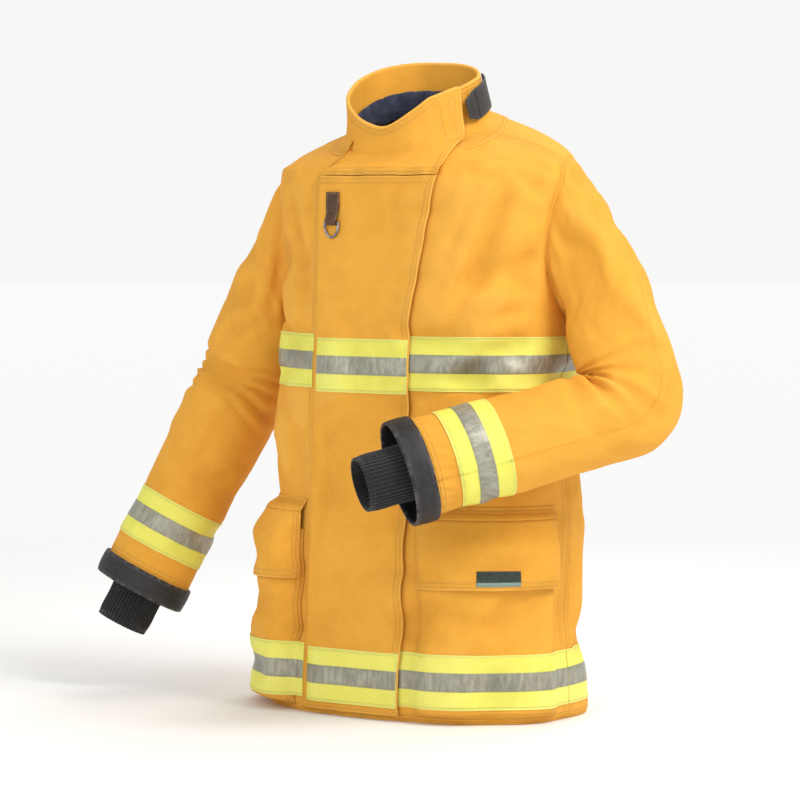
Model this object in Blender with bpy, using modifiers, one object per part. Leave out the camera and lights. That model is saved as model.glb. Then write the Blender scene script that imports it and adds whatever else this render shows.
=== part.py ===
"""Firefighter's turnout coat, as worn: right sleeve hanging, left forearm held across the front.

Run with: blender --background --python part.py
Metres, +Z up. The origin is the middle of the back, in the hem's lower edge. The wearer faces -Y
and their left is +X.
Every layer of the body is a patch of one base surface, the outer face of the outer shell, which is
a loft through STATIONS. Sleeves are lofted along an upper axis, a fan of rings round the elbow
crease, and a forearm axis.
"""

import math

import bmesh
import bpy
from mathutils import Matrix, Vector

MM = 0.001

# ---- Body: rings of the base surface, in mm ------------------------------------------------
# (height at the side, half width, front y, back y, rise of the ring towards the back)
STATIONS = (
    (0, 230, -160.0, 152, 0.00),
    (6, 230, -160.0, 152, 0.00),
    (95, 229, -155.5, 152, 0.00),
    (195, 228, -150.5, 152, 0.00),
    (290, 226, -145.5, 151, 0.00),
    (380, 225, -141.0, 149, 0.00),
    (460, 225, -137.0, 148, 0.00),
    (545, 227, -132.5, 147, 0.00),
    (620, 230, -129.0, 144, 0.00),
    (690, 236, -125.5, 138, 0.00),
    (735, 238, -123.0, 128, 0.02),
    (760, 230, -120.0, 115, 0.08),
    (776, 211, -116.0, 102, 0.18),
    (789, 179, -112.0, 87, 0.28),
    (799, 139, -109.0, 70, 0.37),
    (808, 102, -106.0, 54, 0.44),
)
COLLAR_RIM = (886, 90, -104.0, 52, 0.43)
COLLAR_LEAN = -11.0  # how far the collar's rim leans towards the wearer's right, mm
SQUARENESS = 0.82  # exponent on sine and cosine: 1 is an ellipse, less is squarer
SHELL_STEP = 7.5  # degrees between columns of the outer shell and what lies on it
LINER_STEP = 15.0
FRONT_GAP = 5.0  # half the gap between the two fronts, mm
SIDE_SEAM = 90.0

# ---- Layers, mm out from the base surface ---------------------------------------------------
SHELL_WALL = 1.5
BARRIER_FACE, BARRIER_WALL = -5.6, 1.0
LINER_FACE, LINER_WALL = -8.4, 4.0
TRIM_FACE, TRIM_WALL = 0.6, 0.8
LOOP_FACE, LOOP_WALL = 1.8, 0.9
FLAP_HOOK_FACE, FLAP_HOOK_WALL = 3.1, 1.2
FLAP_FACE, FLAP_WALL = 5.0, 2.0
FLAP_TRIM_FACE = 7.5

# ---- Reflective trim, storm flap, zip -------------------------------------------------------
TRIM_WIDTH = 74.0
TRIM_START_X = {"left": 24.0, "right": -103.0}
CHEST_TRIM_BASE, HEM_TRIM_BASE = 451.0, 21.0
FLAP_HINGE_X, FLAP_FREE_X = -97.0, 62.0
FLAP_BASE, FLAP_TOP = 8.0, 748.0
FLAP_FLARE_FROM, FLAP_FLARE = 540.0, 36.0  # the free edge slants outward above this height
LOOP_X = (38.0, 54.0)
STRIP_BASE, STRIP_TOP = 20.0, 724.0
ZIP_BASE, ZIP_TOP = 32.0, 728.0
ZIP_TAPE_X = (3.6, 17.0)
ZIP_TEETH_X = (0.4, 3.1)
SLIDER_SIZE = (13.0, 2.0, 16.0)

# ---- Pockets --------------------------------------------------------------------------------
POCKET_SPAN = {"left": (17.0, 82.5), "right": (-90.0, -27.0)}
POCKET_BASE, POCKET_TOP = 8.0, 252.0
POCKET_WALL = 1.2
POCKET_DEPTH = {"left": (12.0, 20.0), "right": (30.0, 33.0)}  # at its foot and its top
POCKET_FOOT = 10.0
POCKET_TAPER_FROM, POCKET_TAPER = 228.0, 0.35  # the share of its depth lost from there to its top
TRIM_OVER_POCKET = 2.6
POCKET_FLAP_BASE, POCKET_FLAP_TOP = 184.0, 277.0
POCKET_FLAP_FACE, POCKET_FLAP_WALL = {"left": 24.5, "right": 37.5}, 2.0
FLAP_SLANT, FLAP_TOP_FACE = 40.0, {"left": 12.0, "right": 17.0}  # the top of a flap leans in
LABEL_SPAN, LABEL_BASE, LABEL_HEIGHT = (42.0, 60.0), 189.0, 20.0

# ---- Sleeves --------------------------------------------------------------------------------
SLEEVE_WALL = 2.0
RING_SIDES = 20
CREASE_GAP = 6.0  # from the inside of the sleeve to the axis its elbow rings fan about
ELBOW_BULGE = 6.0
ARMHOLE = {"y": 29.0, "z": 659.0, "half_y": 74.0, "half_z": 117.0, "inner_x": 150.0, "outer_x": 340.0}
SHOULDER_GAP, ELBOW_GAP = 3.0, 1.0
ARMHOLE_INSET, ARMPIT_STAND = 4.0, 4.0
CUFF_LENGTH, CUFF_WALL = 31.0, 5.0
WRISTLET_RADIUS, WRISTLET_WALL, WRISTLET_LENGTH = 40.0, 3.0, 55.0
SLEEVE_TRIM_FROM_CUFF = 35.0
ARMS = {
    # Points in mm. "normal" is the half size across the plane the elbow bends in, "bend" in it,
    # each at the shoulder, the elbow and the cuff. "rigid" is where the stiff upper tube starts
    # and ends and where the forearm's starts, and "bulge" is how far the shoulder cap puffs out.
    "right": {
        "shoulder": (-228, 29, 705),
        "elbow": (-331, 7, 446),
        "cuff": (-440, -85, 171),
        "normal": (67, 67, 68),
        "bend": (72, 70, 53),
        "rigid": (184, 236, 52),
        "bulge": 4,
    },
    "left": {
        "shoulder": (228, 29, 705),
        "elbow": (342, 2, 431),
        "cuff": (155, -238, 356),
        "normal": (66, 57, 50),
        "bend": (68, 66, 68),
        "rigid": (178, 226, 96),
        "bulge": 8,
    },
}

# ---- Collar and small parts -----------------------------------------------------------------
COLLAR_WALL, COLLAR_FACING_FACE, COLLAR_FACING_WALL = 2.2, -4.4, 1.6
COLLAR_SPLIT = -20.0  # degrees; the collar's two ends meet here
RIM_HEIGHTS = (  # (degrees, height) round the collar's rim, which dips at the throat
    (-180, 868),
    (-120, 876),
    (-90, 880),
    (-60, 874),
    (-35, 861),
    (0, 843),
    (25, 862),
    (45, 875),
    (60, 876),
    (90, 870),
    (120, 864),
    (180, 868),
)
THROAT_TAB_SPAN, THROAT_TAB_FACE, THROAT_TAB_WALL = (80.0, 140.0), 3.0, 2.4
LOOP_STRAP = {"width": 62.0, "rise": 30.0, "strap": 12.0, "thick": 2.4}
DEE_TAB = {"x": -70.0, "z": 702.0, "width": 24.0, "height": 40.0, "thick": 2.4}
DEE_WIRE, DEE_WIDTH, DEE_DROP = 1.8, 26.0, 20.0

COLOURS = {
    # name: (red, green, blue, roughness, metallic)
    "gold_fabric": (0.86, 0.46, 0.08, 0.85, 0.0),
    "lime_tape": (0.80, 0.83, 0.10, 0.6, 0.0),
    "silver_tape": (0.42, 0.42, 0.40, 0.35, 0.3),
    "black_knit": (0.02, 0.02, 0.025, 0.95, 0.0),
    "black_leather": (0.025, 0.022, 0.025, 0.6, 0.0),
    "navy_lining": (0.03, 0.05, 0.12, 0.9, 0.0),
    "barrier_film": (0.75, 0.73, 0.66, 0.5, 0.0),
    "black_webbing": (0.02, 0.02, 0.02, 0.9, 0.0),
    "brass": (0.62, 0.47, 0.20, 0.35, 1.0),
    "brown_leather": (0.17, 0.09, 0.03, 0.6, 0.0),
    "dull_steel": (0.5, 0.48, 0.5, 0.35, 1.0),
    "label": (0.02, 0.04, 0.03, 0.7, 0.0),
}


# ---- Scene helpers --------------------------------------------------------------------------
def clear_scene():
    for obj in list(bpy.data.objects):
        bpy.data.objects.remove(obj)


def new_collection(name):
    collection = bpy.data.collections.new(name)
    bpy.context.scene.collection.children.link(collection)
    return collection


def new_material(name):
    red, green, blue, roughness, metallic = COLOURS[name]
    material = bpy.data.materials.new(name)
    material.use_nodes = True
    shader = material.node_tree.nodes["Principled BSDF"]
    shader.inputs["Base Color"].default_value = (red, green, blue, 1.0)
    shader.inputs["Roughness"].default_value = roughness
    shader.inputs["Metallic"].default_value = metallic
    return material


clear_scene()
COAT = new_collection("turnout_coat")
CUTTERS = new_collection("cutters")
MATERIALS = {name: new_material(name) for name in COLOURS}


def add_object(name, mesh, material):
    obj = bpy.data.objects.new(name, mesh)
    COAT.objects.link(obj)
    mesh.materials.append(MATERIALS[material])
    return obj


def add_pivot(name, point):
    empty = bpy.data.objects.new(name, None)
    empty.location = point
    empty.empty_display_size = 0.03
    COAT.objects.link(empty)
    return empty


def hang(obj, pivot):
    """Parents obj to the empty on its joint's axis, and leaves it where it is."""
    obj.parent = pivot
    obj.location = obj.location - pivot.location
    return obj


def solidify(obj, wall, inward):
    modifier = obj.modifiers.new("wall", "SOLIDIFY")
    modifier.thickness = wall * MM
    modifier.offset = -1.0 if inward else 1.0
    modifier.use_even_offset = True
    return obj


def grid_mesh(name, rows, closed=False):
    """An open quad surface through equal rows of points. Rows run round the body, left to right."""
    mesh = bpy.data.meshes.new(name)
    grid = bmesh.new()
    verts = [[grid.verts.new(p) for p in row] for row in rows]
    columns = len(rows[0])
    for low, high in zip(verts, verts[1:]):
        for i in range(columns if closed else columns - 1):
            k = (i + 1) % columns
            grid.faces.new((low[i], low[k], high[k], high[i]))
    grid.to_mesh(mesh)
    grid.free()
    return mesh


# ---- The base surface -----------------------------------------------------------------------
def blend_rings(low, high, share):
    return tuple(a + (b - a) * share for a, b in zip(low, high))


def ring_at(height):
    """The ring whose side is at this height, in mm. Above the last station it is the collar."""
    rings = STATIONS + (COLLAR_RIM,)
    for low, high in zip(rings, rings[1:]):
        if height <= high[0]:
            return blend_rings(low, high, (height - low[0]) / (high[0] - low[0]))
    return rings[-1]


def signed_power(value, power):
    return math.copysign(abs(value) ** power, value)


def ring_point(ring, degrees):
    height, half_width, front, back, rise = ring
    centre, half_depth = (front + back) / 2, (back - front) / 2
    angle = math.radians(degrees)
    x = half_width * signed_power(math.sin(angle), SQUARENESS)
    y_from_centre = -half_depth * signed_power(math.cos(angle), SQUARENESS)
    return Vector((x, centre + y_from_centre, height + rise * y_from_centre)) * MM


def surface_point(degrees, height):
    """A point of the base surface. Above the neck it leans sideways with the collar."""
    neck, rim = STATIONS[-1][0], COLLAR_RIM[0]
    lean = COLLAR_LEAN * max(height - neck, 0.0) / (rim - neck)
    return ring_point(ring_at(height), degrees) + Vector((lean * MM, 0, 0))


def base_point(degrees, height, out=0.0):
    """A point of the base surface, or one that stands off it by out mm along the normal."""
    here = surface_point(degrees, height)
    if not out:
        return here
    along = surface_point(degrees + 1, height) - surface_point(degrees - 1, height)
    low, high = max(height - 4, 0), min(height + 4, COLLAR_RIM[0])
    up = surface_point(degrees, high) - surface_point(degrees, low)
    return here + along.cross(up).normalized() * out * MM


def degrees_at_x(x, height):
    """The angle at which the ring at this height has this x, in front of the side seams."""
    half_width = ring_at(height)[1]
    return math.copysign(math.degrees(math.asin((abs(x) / half_width) ** (1 / SQUARENESS))), x)


def span(start, end, step):
    """start, then every multiple of step between, then end."""
    inner = math.floor(start / step + 1) * step
    values = [start]
    while inner < end - 0.01:
        values.append(inner)
        inner += step
    return values + [end]


def heights(low, high):
    """low, the stations between, then high."""
    return [low] + [s[0] for s in STATIONS if low + 1 < s[0] < high - 1] + [high]


def patch(name, columns, rows, wall, material, out=0.0, inward=False):
    """A wall of cloth on the base surface. columns are degrees or a function of the height that
    gives them, a row is a height or a function of degrees, and out is mm or a function of both."""
    points = []
    for row in rows:
        angles = columns(row) if callable(columns) else columns
        levels = [row(a) if callable(row) else row for a in angles]
        stand = [out(a, h) if callable(out) else out for a, h in zip(angles, levels)]
        points.append([base_point(a, h, o) for a, h, o in zip(angles, levels, stand)])
    obj = add_object(name, grid_mesh(name, points), material)
    return solidify(obj, wall, inward)


# ---- Body layers ----------------------------------------------------------------------------
def armhole_cutter(side):
    """An elliptical cylinder along X that opens the armhole in every layer of the body."""
    sign = -1 if side == "right" else 1
    mesh = bpy.data.meshes.new(side + "_armhole_cutter")
    drum = bmesh.new()
    length = ARMHOLE["outer_x"] - ARMHOLE["inner_x"]
    bmesh.ops.create_cone(
        drum, cap_ends=True, segments=28, radius1=1.0, radius2=1.0, depth=length * MM
    )
    scale = Matrix.Diagonal((ARMHOLE["half_z"] * MM, ARMHOLE["half_y"] * MM, 1.0, 1.0))
    middle = sign * (ARMHOLE["inner_x"] + length / 2)
    place = Matrix.Translation(Vector((middle, ARMHOLE["y"], ARMHOLE["z"])) * MM)
    drum.transform(place @ Matrix.Rotation(math.pi / 2, 4, "Y") @ scale)
    drum.to_mesh(mesh)
    drum.free()
    obj = bpy.data.objects.new(side + "_armhole_cutter", mesh)
    obj.hide_render = True
    obj.display_type = "WIRE"
    CUTTERS.objects.link(obj)
    return obj


ARMHOLE_CUTTERS = {side: armhole_cutter(side) for side in ARMS}


def open_armholes(obj, sides):
    for side in sides:
        modifier = obj.modifiers.new(side + "_armhole", "BOOLEAN")
        modifier.operation = "DIFFERENCE"
        modifier.object = ARMHOLE_CUTTERS[side]
    return obj


def outer_shell():
    rows = [s[0] for s in STATIONS]

    def front(side):
        def columns(height):
            edge = degrees_at_x(FRONT_GAP, height)
            angles = [edge] + span(SHELL_STEP, SIDE_SEAM - 0.2, SHELL_STEP)
            return angles if side == "left" else [-a for a in reversed(angles)]

        return columns

    for side in ARMS:
        shell = patch(
            f"outer_shell_{side}_front", front(side), rows, SHELL_WALL, "gold_fabric", inward=True
        )
        open_armholes(shell, [side])
    back = span(SIDE_SEAM + 0.2, 360 - SIDE_SEAM - 0.2, SHELL_STEP)
    shell = patch("outer_shell_back", back, rows, SHELL_WALL, "gold_fabric", inward=True)
    open_armholes(shell, ARMS)


def inner_layers():
    columns = span(LINER_STEP / 2, 360 - LINER_STEP / 2, LINER_STEP)
    rows = [15, 195, 380, 545, 620, 690, 735, 760, 776, 789, 799]
    barrier = patch(
        "moisture_barrier", columns, rows, BARRIER_WALL, "barrier_film", BARRIER_FACE, inward=True
    )
    liner = patch(
        "thermal_liner", columns, rows, LINER_WALL, "navy_lining", LINER_FACE, inward=True
    )
    for layer in (barrier, liner):
        open_armholes(layer, ARMS)


def rim_height(degrees):
    """The height of the collar's rim at this angle."""
    turned = (degrees + 180) % 360 - 180
    for low, high in zip(RIM_HEIGHTS, RIM_HEIGHTS[1:]):
        if turned <= high[0]:
            break
    return low[1] + (high[1] - low[1]) * (turned - low[0]) / (high[0] - low[0])


def collar():
    columns = span(COLLAR_SPLIT + 2, COLLAR_SPLIT + 358, LINER_STEP)
    base = STATIONS[-1][0] + 1.0
    rows = [base, lambda a: (base + rim_height(a)) / 2, rim_height]
    patch("collar_shell", columns, rows, COLLAR_WALL, "gold_fabric", inward=True)
    patch(
        "collar_facing",
        columns,
        rows,
        COLLAR_FACING_WALL,
        "gold_fabric",
        COLLAR_FACING_FACE,
        inward=True,
    )


# ---- Pockets --------------------------------------------------------------------------------
def pocket_depth(side, degrees, height):
    """How far the pocket's front stands off the coat: nothing at its sides, and more at its top."""
    start, end = POCKET_SPAN[side]
    if not start < degrees < end:
        return 0.0
    up = min(max((height - POCKET_BASE) / (POCKET_TOP - POCKET_BASE), 0.0), 1.0)
    foot_depth, top_depth = POCKET_DEPTH[side]
    taper = max(height - POCKET_TAPER_FROM, 0.0) / (POCKET_TOP - POCKET_TAPER_FROM)
    full = (foot_depth + (top_depth - foot_depth) * up) * (1 - POCKET_TAPER * taper)
    ramp = min(degrees - start, end - degrees) / SHELL_STEP
    foot = min(max((height - POCKET_BASE) / POCKET_FOOT, 0.0), 1.0)
    return full * min(ramp, 1.0) * foot


def pocket(side):
    start, end = POCKET_SPAN[side]
    foot, trim_top = POCKET_BASE + POCKET_FOOT, HEM_TRIM_BASE + TRIM_WIDTH
    rows = [POCKET_BASE, foot, trim_top, POCKET_TAPER_FROM, POCKET_TOP]

    def out(degrees, height):
        return TRIM_FACE + pocket_depth(side, degrees, height)

    patch(side + "_pocket", span(start, end, SHELL_STEP), rows, POCKET_WALL, "gold_fabric", out)

    def loop_out(degrees, height):
        return out(degrees, height) + POCKET_WALL + 0.5

    inset = 2 * SHELL_STEP
    patch(
        side + "_pocket_loop",
        span(start + inset, end - inset, SHELL_STEP),
        [POCKET_FLAP_BASE + 6, POCKET_FLAP_BASE + 26],
        LOOP_WALL,
        "black_webbing",
        loop_out,
    )


def pocket_flap(side):
    """A flap on its own pivot, an axis along its top edge, with the hook tape and the label."""
    start, end = POCKET_SPAN[side]
    middle = (start + end) / 2
    face, top_face = POCKET_FLAP_FACE[side], FLAP_TOP_FACE[side]
    hinge = base_point(middle, POCKET_FLAP_TOP, top_face + POCKET_FLAP_WALL / 2)
    pivot = add_pivot(side + "_pocket_flap_pivot", hinge)
    columns = span(start, end, SHELL_STEP)
    rows = [POCKET_FLAP_BASE, POCKET_FLAP_TOP - FLAP_SLANT, POCKET_FLAP_TOP]
    name = side + "_pocket_flap"

    def out(degrees, height):
        up = max(height - POCKET_FLAP_TOP + FLAP_SLANT, 0.0) / FLAP_SLANT
        return face + (top_face - face) * up

    hang(patch(name, columns, rows, POCKET_FLAP_WALL, "gold_fabric", out), pivot)
    inset = 2 * SHELL_STEP
    hook = patch(
        name + "_hook",
        span(start + inset, end - inset, SHELL_STEP),
        [POCKET_FLAP_BASE + 6, POCKET_FLAP_BASE + 26],
        LOOP_WALL,
        "black_webbing",
        face - 0.5 - LOOP_WALL,
    )
    hang(hook, pivot)
    if side == "left":
        label = patch(
            "pocket_label",
            span(*LABEL_SPAN, SHELL_STEP),
            [LABEL_BASE, LABEL_BASE + LABEL_HEIGHT],
            TRIM_WALL,
            "label",
            face + POCKET_FLAP_WALL + 0.5,
        )
        hang(label, pivot)


# ---- Reflective trim ------------------------------------------------------------------------
def body_trims():
    for name, base, out in (
        ("chest", CHEST_TRIM_BASE, TRIM_FACE),
        ("hem", HEM_TRIM_BASE, hem_out),
    ):
        rows = heights(base, base + TRIM_WIDTH)
        for side in ARMS:
            start = degrees_at_x(TRIM_START_X[side], base)
            if side == "left":
                columns = span(start, SIDE_SEAM - 0.6, SHELL_STEP)
            else:
                columns = span(-SIDE_SEAM + 0.6, start, SHELL_STEP)
            patch(f"{name}_trim_{side}", columns, rows, TRIM_WALL, "lime_tape", out)
        columns = span(SIDE_SEAM + 0.6, 360 - SIDE_SEAM - 0.6, SHELL_STEP)
        patch(f"{name}_trim_back", columns, rows, TRIM_WALL, "lime_tape", out)


def hem_out(degrees, height):
    """The hem tape's stand-off: over a pocket it lies on the pocket's front."""
    for side in ARMS:
        start, end = POCKET_SPAN[side]
        if start - 0.01 <= degrees <= end + 0.01:
            return TRIM_FACE + pocket_depth(side, degrees, height) + TRIM_OVER_POCKET
    return TRIM_FACE


# ---- Storm flap and its fastenings ----------------------------------------------------------
def x_columns(start, end, count, flare=0.0):
    """Columns at even x instead of even angle, for strips with straight upright edges. With a
    flare the last column slants outward by that much between FLAP_FLARE_FROM and FLAP_TOP."""

    def columns(height):
        rise = max(height - FLAP_FLARE_FROM, 0.0) / (FLAP_TOP - FLAP_FLARE_FROM)
        width = end + flare * rise - start
        return [degrees_at_x(start + width * i / count, height) for i in range(count + 1)]

    return columns


def storm_flap():
    pivot = add_pivot(
        "storm_flap_pivot",
        base_point(degrees_at_x(FLAP_HINGE_X, 380), 380, FLAP_FACE + FLAP_WALL / 2),
    )
    rows = heights(FLAP_BASE, FLAP_TOP)
    columns = x_columns(FLAP_HINGE_X, FLAP_FREE_X, 10, FLAP_FLARE)
    hang(patch("storm_flap", columns, rows, FLAP_WALL, "gold_fabric", FLAP_FACE), pivot)
    strip = x_columns(*LOOP_X, 1)
    hook = patch(
        "storm_flap_hook",
        strip,
        heights(STRIP_BASE, STRIP_TOP),
        FLAP_HOOK_WALL,
        "black_webbing",
        FLAP_HOOK_FACE,
    )
    hang(hook, pivot)
    for name, base in (("chest", CHEST_TRIM_BASE - 5), ("hem", HEM_TRIM_BASE - 3)):
        trim = patch(
            "storm_flap_" + name + "_trim",
            x_columns(FLAP_HINGE_X + 1, FLAP_FREE_X - 1, 10),
            heights(base, base + TRIM_WIDTH),
            TRIM_WALL,
            "lime_tape",
            FLAP_TRIM_FACE,
        )
        hang(trim, pivot)
    patch(
        "front_loop_strip",
        strip,
        heights(STRIP_BASE, STRIP_TOP),
        LOOP_WALL,
        "black_webbing",
        LOOP_FACE,
    )
    dee_tab_and_ring(pivot)


def box(name, size, centre, tilt, material, bevel=0.0):
    """A box of size mm, centred, its length leaning back with the front of the coat."""
    mesh = bpy.data.meshes.new(name)
    cube = bmesh.new()
    bmesh.ops.create_cube(cube, size=1.0)
    bmesh.ops.scale(cube, vec=Vector(size) * MM, verts=cube.verts)
    if bevel:
        bmesh.ops.bevel(cube, geom=cube.edges, offset=bevel * MM, segments=1, affect="EDGES")
    cube.transform(Matrix.Rotation(tilt, 4, "X"))
    cube.to_mesh(mesh)
    cube.free()
    obj = add_object(name, mesh, material)
    obj.location = centre
    return obj


FRONT_LEAN = -math.atan2(ring_at(ZIP_TOP)[2] - ring_at(ZIP_BASE)[2], ZIP_TOP - ZIP_BASE)


def on_front(x, height, out):
    """A point of the centre front line, moved x sideways and out mm forwards off it."""
    share = (height - ZIP_BASE) / (ZIP_TOP - ZIP_BASE)
    low, high = ring_at(ZIP_BASE)[2], ring_at(ZIP_TOP)[2]
    y = low + (high - low) * share
    return Vector((x, y - out, height)) * MM


def zip_fastener():
    """Tapes and teeth are straight strips. The slider's plate has two lips that hold the teeth."""
    middle, length = (ZIP_BASE + ZIP_TOP) / 2, ZIP_TOP - ZIP_BASE
    for side, sign in (("left", 1), ("right", -1)):
        inner, outer = ZIP_TAPE_X
        centre = on_front(sign * (inner + outer) / 2, middle, 1.5)
        box(f"zip_tape_{side}", (outer - inner, 0.8, length), centre, FRONT_LEAN, "black_webbing")
        inner, outer = ZIP_TEETH_X
        centre = on_front(sign * (inner + outer) / 2, middle, 1.5)
        box(f"zip_teeth_{side}", (outer - inner, 1.6, length), centre, FRONT_LEAN, "brass")
    width, thick, height = SLIDER_SIZE
    top = ZIP_TOP - 12
    pivot = add_pivot("zip_slider_pivot", on_front(0, top, 3.7))
    slider = box(
        "zip_slider", (width, thick, height), on_front(0, top, 3.7), FRONT_LEAN, "brass", 0.5
    )
    hang(slider, pivot)
    pull_pivot = add_pivot("zip_pull_pivot", on_front(0, top - 12, 3.7))
    pull = box(
        "zip_pull", (9, 1.6, 32), on_front(0, top - 28, 3.7), FRONT_LEAN, "brass", 0.4
    )
    hang(pull, pull_pivot)


def dee_tab_and_ring(pivot):
    """A leather tab sewn to the flap beside its hinge, and a D-ring hanging from its fold."""
    z, x = DEE_TAB["z"], DEE_TAB["x"]
    out = FLAP_FACE + FLAP_WALL + 0.6 + DEE_TAB["thick"] / 2
    centre = base_point(degrees_at_x(x, z), z, out)
    size = (DEE_TAB["width"], DEE_TAB["thick"], DEE_TAB["height"])
    normal = centre - base_point(degrees_at_x(x, z), z)
    turn = Matrix.Rotation(math.atan2(normal.x, -normal.y), 4, "Z")
    tab = box("dee_tab", size, centre, FRONT_LEAN, "brown_leather", 0.6)
    tab.data.transform(turn)
    hang(tab, pivot)
    drop = Vector((0, 0, -(DEE_TAB["height"] / 2 + DEE_WIRE + 0.5) * MM))
    stand = normal.normalized() * DEE_WIRE * 1.5 * MM
    ring_pivot = add_pivot("dee_ring_pivot", centre + drop + stand)
    curve = bpy.data.curves.new("dee_ring", "CURVE")
    curve.dimensions = "3D"
    curve.bevel_depth = DEE_WIRE * MM
    curve.bevel_resolution = 1
    spline = curve.splines.new("POLY")
    half = DEE_WIDTH / 2
    arc = [math.pi + math.pi * i / 10 for i in range(11)]
    points = [(half * math.cos(a), DEE_DROP * math.sin(a)) for a in arc]
    spline.points.add(len(points) - 1)
    for point, (px, pz) in zip(spline.points, points):
        point.co = (px * MM, 0, pz * MM, 1)
    spline.use_cyclic_u = True
    ring = bpy.data.objects.new("dee_ring", curve)
    curve.materials.append(MATERIALS["dull_steel"])
    COAT.objects.link(ring)
    ring.rotation_euler = turn.to_euler()
    ring.parent = ring_pivot


# ---- Sleeves --------------------------------------------------------------------------------
class Arm:
    """The frame of one sleeve: two straight axes and a fan of rings about the elbow crease."""

    def __init__(self, side):
        spec = ARMS[side]
        self.side = side
        self.shoulder = Vector(spec["shoulder"])
        self.elbow = Vector(spec["elbow"])
        self.cuff = Vector(spec["cuff"])
        self.normals, self.bends, self.rigid = spec["normal"], spec["bend"], spec["rigid"]
        self.upper = (self.elbow - self.shoulder).normalized()
        self.fore = (self.cuff - self.elbow).normalized()
        self.axis = self.upper.cross(self.fore).normalized()
        self.angle = self.upper.angle(self.fore)
        reach = self.bends[1] + CREASE_GAP
        inward = (self.fore - self.upper).normalized()
        self.crease = self.elbow + inward * reach / math.cos(self.angle / 2)
        self.crease_offset = reach * math.tan(self.angle / 2)
        self.upper_length = (self.elbow - self.shoulder).length
        self.fore_length = (self.cuff - self.elbow).length

    def ring(self, centre, turned, normal, bend, grow=0.0):
        """Points of one ring, in metres, turned by this angle from the upper axis. The first
        point is the outermost one, and the next are towards the wearer's front."""
        turn = Matrix.Rotation(turned, 3, self.axis)
        up = Vector((0, 0, 1))
        out = (up - self.upper * up.dot(self.upper)).normalized()
        forward = out.cross(self.upper)
        if forward.y > 0:
            forward = -forward
        inward = self.axis.cross(self.upper).normalized()
        points = []
        for i in range(RING_SIDES):
            angle = 2 * math.pi * i / RING_SIDES
            ray = out * math.cos(angle) + forward * math.sin(angle)
            flat = self.axis * (ray.dot(self.axis) * (normal + grow))
            flat += inward * (ray.dot(inward) * (bend + grow))
            points.append((centre + turn @ flat) * MM)
        return points

    def upper_ring(self, along, grow=0.0):
        share = min(along / (self.upper_length - self.crease_offset), 1.0)
        normal = self.normals[0] + (self.normals[1] - self.normals[0]) * share
        bend = self.bends[0] + (self.bends[1] - self.bends[0]) * share
        return self.ring(self.shoulder + self.upper * along, 0.0, normal, bend, grow)

    def fore_ring(self, along, grow=0.0):
        start = self.crease_offset
        share = min(max((along - start) / (self.fore_length - start), 0.0), 1.0)
        normal = self.normals[1] + (self.normals[2] - self.normals[1]) * share
        bend = self.bends[1] + (self.bends[2] - self.bends[1]) * share
        return self.ring(self.elbow + self.fore * along, self.angle, normal, bend, grow)

    def fan_ring(self, share, grow=0.0):
        turned = self.angle * share
        bend = self.bends[1] + ELBOW_BULGE * math.sin(math.pi * share) * self.angle
        inward = Matrix.Rotation(turned, 3, self.axis) @ self.axis.cross(self.upper).normalized()
        centre = self.crease - inward * (CREASE_GAP + bend)
        return self.ring(centre, turned, self.normals[1], bend, grow)


def tube(name, rings, wall, material):
    """A sleeve-like wall through rings that start nearest the shoulder, or round any axis."""
    mesh = grid_mesh(name, rings, closed=True)
    face = mesh.polygons[0]
    middle = sum((Vector(p) for p in rings[0]), Vector()) / len(rings[0])
    if (face.center - middle).dot(face.normal) < 0:
        mesh.flip_normals()
    return solidify(add_object(name, mesh, material), wall, inward=True)


def side_x(y, z):
    """The base surface's x at this y and height, on the side towards +X."""
    low, high = STATIONS[0][0], STATIONS[-1][0]
    while high - low > 0.05:
        height = (low + high) / 2
        _, _, front, back, rise = ring_at(height)
        if height + rise * (y - (front + back) / 2) < z:
            low = height
        else:
            high = height
    _, half_width, front, back, rise = ring_at(low)
    across = min(abs(2 * y - front - back) / (back - front), 1.0)
    return half_width * (1 - across ** (2 / SQUARENESS)) ** (SQUARENESS / 2)


def armhole_ring(arm):
    """The edge of the armhole, from its top towards the front, just inside the opening."""
    sign = -1 if arm.side == "right" else 1
    points = []
    for i in range(RING_SIDES):
        angle = 2 * math.pi * i / RING_SIDES
        y = ARMHOLE["y"] - (ARMHOLE["half_y"] - ARMHOLE_INSET) * math.sin(angle)
        z = ARMHOLE["z"] + (ARMHOLE["half_z"] - ARMHOLE_INSET) * math.cos(angle)
        x = side_x(y, z) + ARMPIT_STAND * (1 - math.cos(angle)) / 2
        points.append(Vector((sign * x, y, z)) * MM)
    return points


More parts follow.
